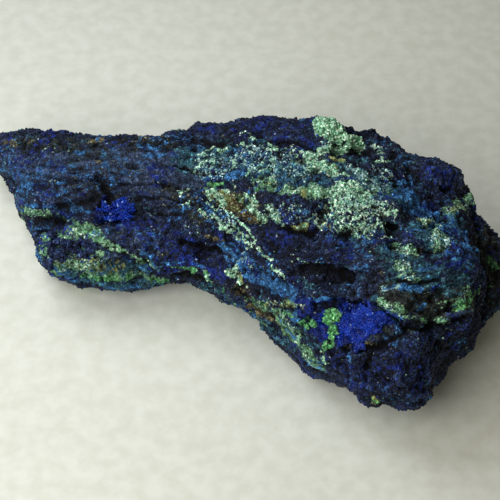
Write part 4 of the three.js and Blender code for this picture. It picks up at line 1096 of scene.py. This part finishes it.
# Each crust has its solid, its crystal, how far it is sunk in mm, how many crystals to a square mm, their
# least and greatest scale, how far they lean in radians, and a seed.
CRUSTS = [
    ("vug_azurite", "vug_crystals", blade, 0.3, 1.2, 0.5, 1.1, 0.9, 51),
    ("pocket_azurite", "pocket_crystals", speck, 0.1, 2.2, 0.6, 1.3, 0.9, 67),
]
grown_tree = BVHTree.FromObject(skin, bpy.context.evaluated_depsgraph_get())
for name, node_name, grain, sunk, per_mm2, smallest, largest, lean, seed in CRUSTS:
    bed = node_copy(name + "_bed", node_name)
    drawn_over(bed, CRUST_VOXEL, DRUSE_SMOOTHING)
    bed_normals = [vertex.normal.copy() for vertex in bed.data.vertices]
    bed_places = np.array([tuple(vertex.co) for vertex in bed.data.vertices])
    off_middle = bed_places - bed_places.mean(0)
    spread = np.linalg.svd(off_middle, full_matrices=False)[2][:2]
    reach = off_middle @ spread.T
    reach = np.sqrt(((reach / np.abs(reach).max(0)) ** 2).sum(1))
    depths = np.zeros(len(bed_places))
    bed_tree = BVHTree.FromObject(bed, bpy.context.evaluated_depsgraph_get())
    for half_width, depth, path in strokes(DRUSE_HOLLOWS):
        for u, v in along(path):
            place = bed_tree.ray_cast(eye, sight_line(u, v))[0]
            if place is None:
                continue
            distance = np.linalg.norm(bed_places - np.array(place), axis=1)
            near = np.clip(1 - distance / (half_width * MM), 0, 1)
            depths = np.maximum(depths, depth * near * near * (3 - 2 * near))
    for vertex, outward, edge, depth in zip(bed.data.vertices, bed_normals, reach, depths):
        at = vertex.co / MM
        height = sum(
            knob_height * (rounded(noise.voronoi(at / knob_size)[0][0], KNOB_REACH) - 0.5)
            for knob_size, knob_height in DRUSE_KNOBS
        )
        ragged = edge + DRUSE_RAGGED * noise.noise(at / DRUSE_FRAY_SIZE)
        height -= DRUSE_SINK * min(1, max(0, (ragged - DRUSE_EDGE) / (1 - DRUSE_EDGE))) + depth + sunk
        fray = noise.noise_vector(at / DRUSE_FRAY_SIZE) * DRUSE_FRAY
        fray -= outward * fray.dot(outward)
        vertex.co += (outward * height + fray) * MM
        rock_place, rock_outward, _, _ = grown_tree.find_nearest(vertex.co)
        clear = (vertex.co - rock_place).dot(rock_outward)
        if clear > DRUSE_CLEAR * MM:
            vertex.co -= rock_outward * (clear - DRUSE_CLEAR * MM) * DRUSE_LOWERED
    add_layer(bed.data, "chance", np.full(len(bed_normals), BED_CHANCE))
    # The deeper parts of the crust get painted shade.
    add_layer(bed.data, "dark", np.clip(depths / SHADE_FULL_DEPTH, 0, SHADE_MOST))
    facing = [vertex.normal.dot(-sight) > CRYSTAL_FACING for vertex in bed.data.vertices]
    add_layer(bed.data, "growth", facing)
    crystals = grown_on(name, bed, grain, "growth", per_mm2, smallest, largest, lean, seed)
    joined = bmesh.new()
    joined.from_mesh(bed.data)
    joined.from_mesh(crystals.data)
    joined.to_mesh(crystals.data)
    joined.free()
    bpy.data.objects.remove(bed)
    crystals.data.materials.clear()
    crystals.data.materials.append(druse)
    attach(crystals, "root")
    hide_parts(node_name)
for spent in (blade, speck):
    bpy.data.objects.remove(spent)

# Rounded knobs that grew on top of everything else: the knobbly tuft of malachite on the back rim, the
# row of azurite beads low on the arm, and the green malachite in the blue pocket.
KNOB_DIVISIONS = 3
KNOB_WOBBLE, KNOB_WOBBLE_SIZE = 0.6, 0.5 * MM
# A knob's top gets painted light and its foot painted shade, as relief in mm; this is how soon its foot
# begins.
KNOB_RELIEF, KNOB_RELIEF_MIDDLE = 0.4, 0.2
FOOT_RATE = 5
# Each cluster has its minerals, those on its knobs' feet, how far its knobs stand out in radii, its knobs'
# radii in mm, and where they are in the photograph: a middle, its half width and half height, and how many.
KNOB_CLUSTERS = [
    ("malachite_tuft", {"malachite": 0.5, "teal": 0.6, "sage": 1.0, "green": 0.34}, {},
     (0.4, 1.9), (0.4, 0.85), [
        (330, 130, 12, 10, 70), (320, 124, 5, 5, 12), (340, 138, 6, 5, 14), (354, 142, 9, 6, 36),
        (346, 148, 5, 3, 8),
    ]),
    ("malachite_knobs", {"green": 1.0, "malachite": 0.16}, {}, (0.2, 0.8), (0.35, 0.75), [
        (332, 317, 8, 8, 34), (332, 316, 4, 4, 10), (333, 333, 4, 8, 18), (327, 346, 3, 4, 8),
        (302, 322, 2, 2, 3), (311, 325, 5, 4, 4),
    ]),
    ("azurite_beads", {"azure": 0.15, "malachite": 0.3}, {"malachite": 0.7}, (0.5, 0.7), (0.8, 1.15), [
        (51, 236, 1, 1, 1), (50, 245, 1, 1, 1), (56, 243, 1, 1, 1), (64, 243, 1, 1, 1), (70, 245, 1, 1, 1),
        (77, 245, 1, 1, 1), (86, 246, 1, 1, 1), (95, 247, 1, 1, 1), (72, 252, 22, 4, 12), (60, 262, 16, 6, 8),
    ]),
]
pocket_tree = BVHTree.FromObject(bpy.data.objects["pocket_azurite"], bpy.context.evaluated_depsgraph_get())


def surface_at(u, v):
    """The nearest point of the finished surface at a pixel, and the skin's outward direction there."""
    line = sight_line(u, v)
    hits = [tree.ray_cast(eye, line) for tree in (grown_tree, pocket_tree)]
    hits = [hit for hit in hits if hit[0] is not None]
    if not hits:
        return None, None
    place, outward, _, _ = min(hits, key=lambda hit: hit[3])
    return place, outward


for name, minerals, feet, (stand_low, stand_high), (radius_low, radius_high), groups in KNOB_CLUSTERS:
    knob_lots = np.random.default_rng(len(name))
    cluster = bmesh.new()
    cluster_relief = []
    for middle_u, middle_v, half_u, half_v, count in groups:
        for _ in range(count):
            turn, reach = knob_lots.uniform(0, 2 * math.pi), math.sqrt(knob_lots.uniform())
            radius = knob_lots.uniform(radius_low, radius_high) * MM
            stand = radius * (stand_low + (stand_high - stand_low) * (1 - reach) * knob_lots.uniform())
            place, outward = surface_at(
                middle_u + half_u * reach * math.cos(turn), middle_v + half_v * reach * math.sin(turn)
            )
            if place is None:
                continue
            outward = (outward - sight).normalized()
            centre = place + outward * stand
            made = bmesh.ops.create_icosphere(
                cluster, subdivisions=KNOB_DIVISIONS, radius=radius, matrix=Matrix.Translation(centre)
            )
            for vertex in made["verts"]:
                away = vertex.co - centre
                vertex.co += away * KNOB_WOBBLE * noise.noise(vertex.co / KNOB_WOBBLE_SIZE)
                cluster_relief.append(KNOB_RELIEF * away.normalized().dot(outward) + KNOB_RELIEF_MIDDLE)
    cluster_mesh = mesh_of(name, cluster)
    cluster_mesh.shade_smooth()
    knob_piece = new_piece(name, cluster_mesh)
    knob_count = len(cluster_mesh.vertices)
    layers = {mineral: np.full(knob_count, strength) for mineral, strength in minerals.items()}
    layers["relief"] = np.array(cluster_relief)
    for mineral, strength in feet.items():
        layers[mineral] = strength * np.clip(1 - layers["relief"] * FOOT_RATE, 0, 1)
    layers["chance"] = np.full(knob_count, 0.5)
    for layer_name, cover in layers.items():
        add_layer(cluster_mesh, layer_name, cover)
    knob_places = np.empty(knob_count * 3, np.float32)
    cluster_mesh.vertices.foreach_get("co", knob_places)
    cluster_mesh.attributes.new("run", "FLOAT_VECTOR", "POINT").data.foreach_set("vector", knob_places)
    cluster_mesh.materials.append(crust)
    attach(knob_piece, "root")

bpy.context.view_layer.update()
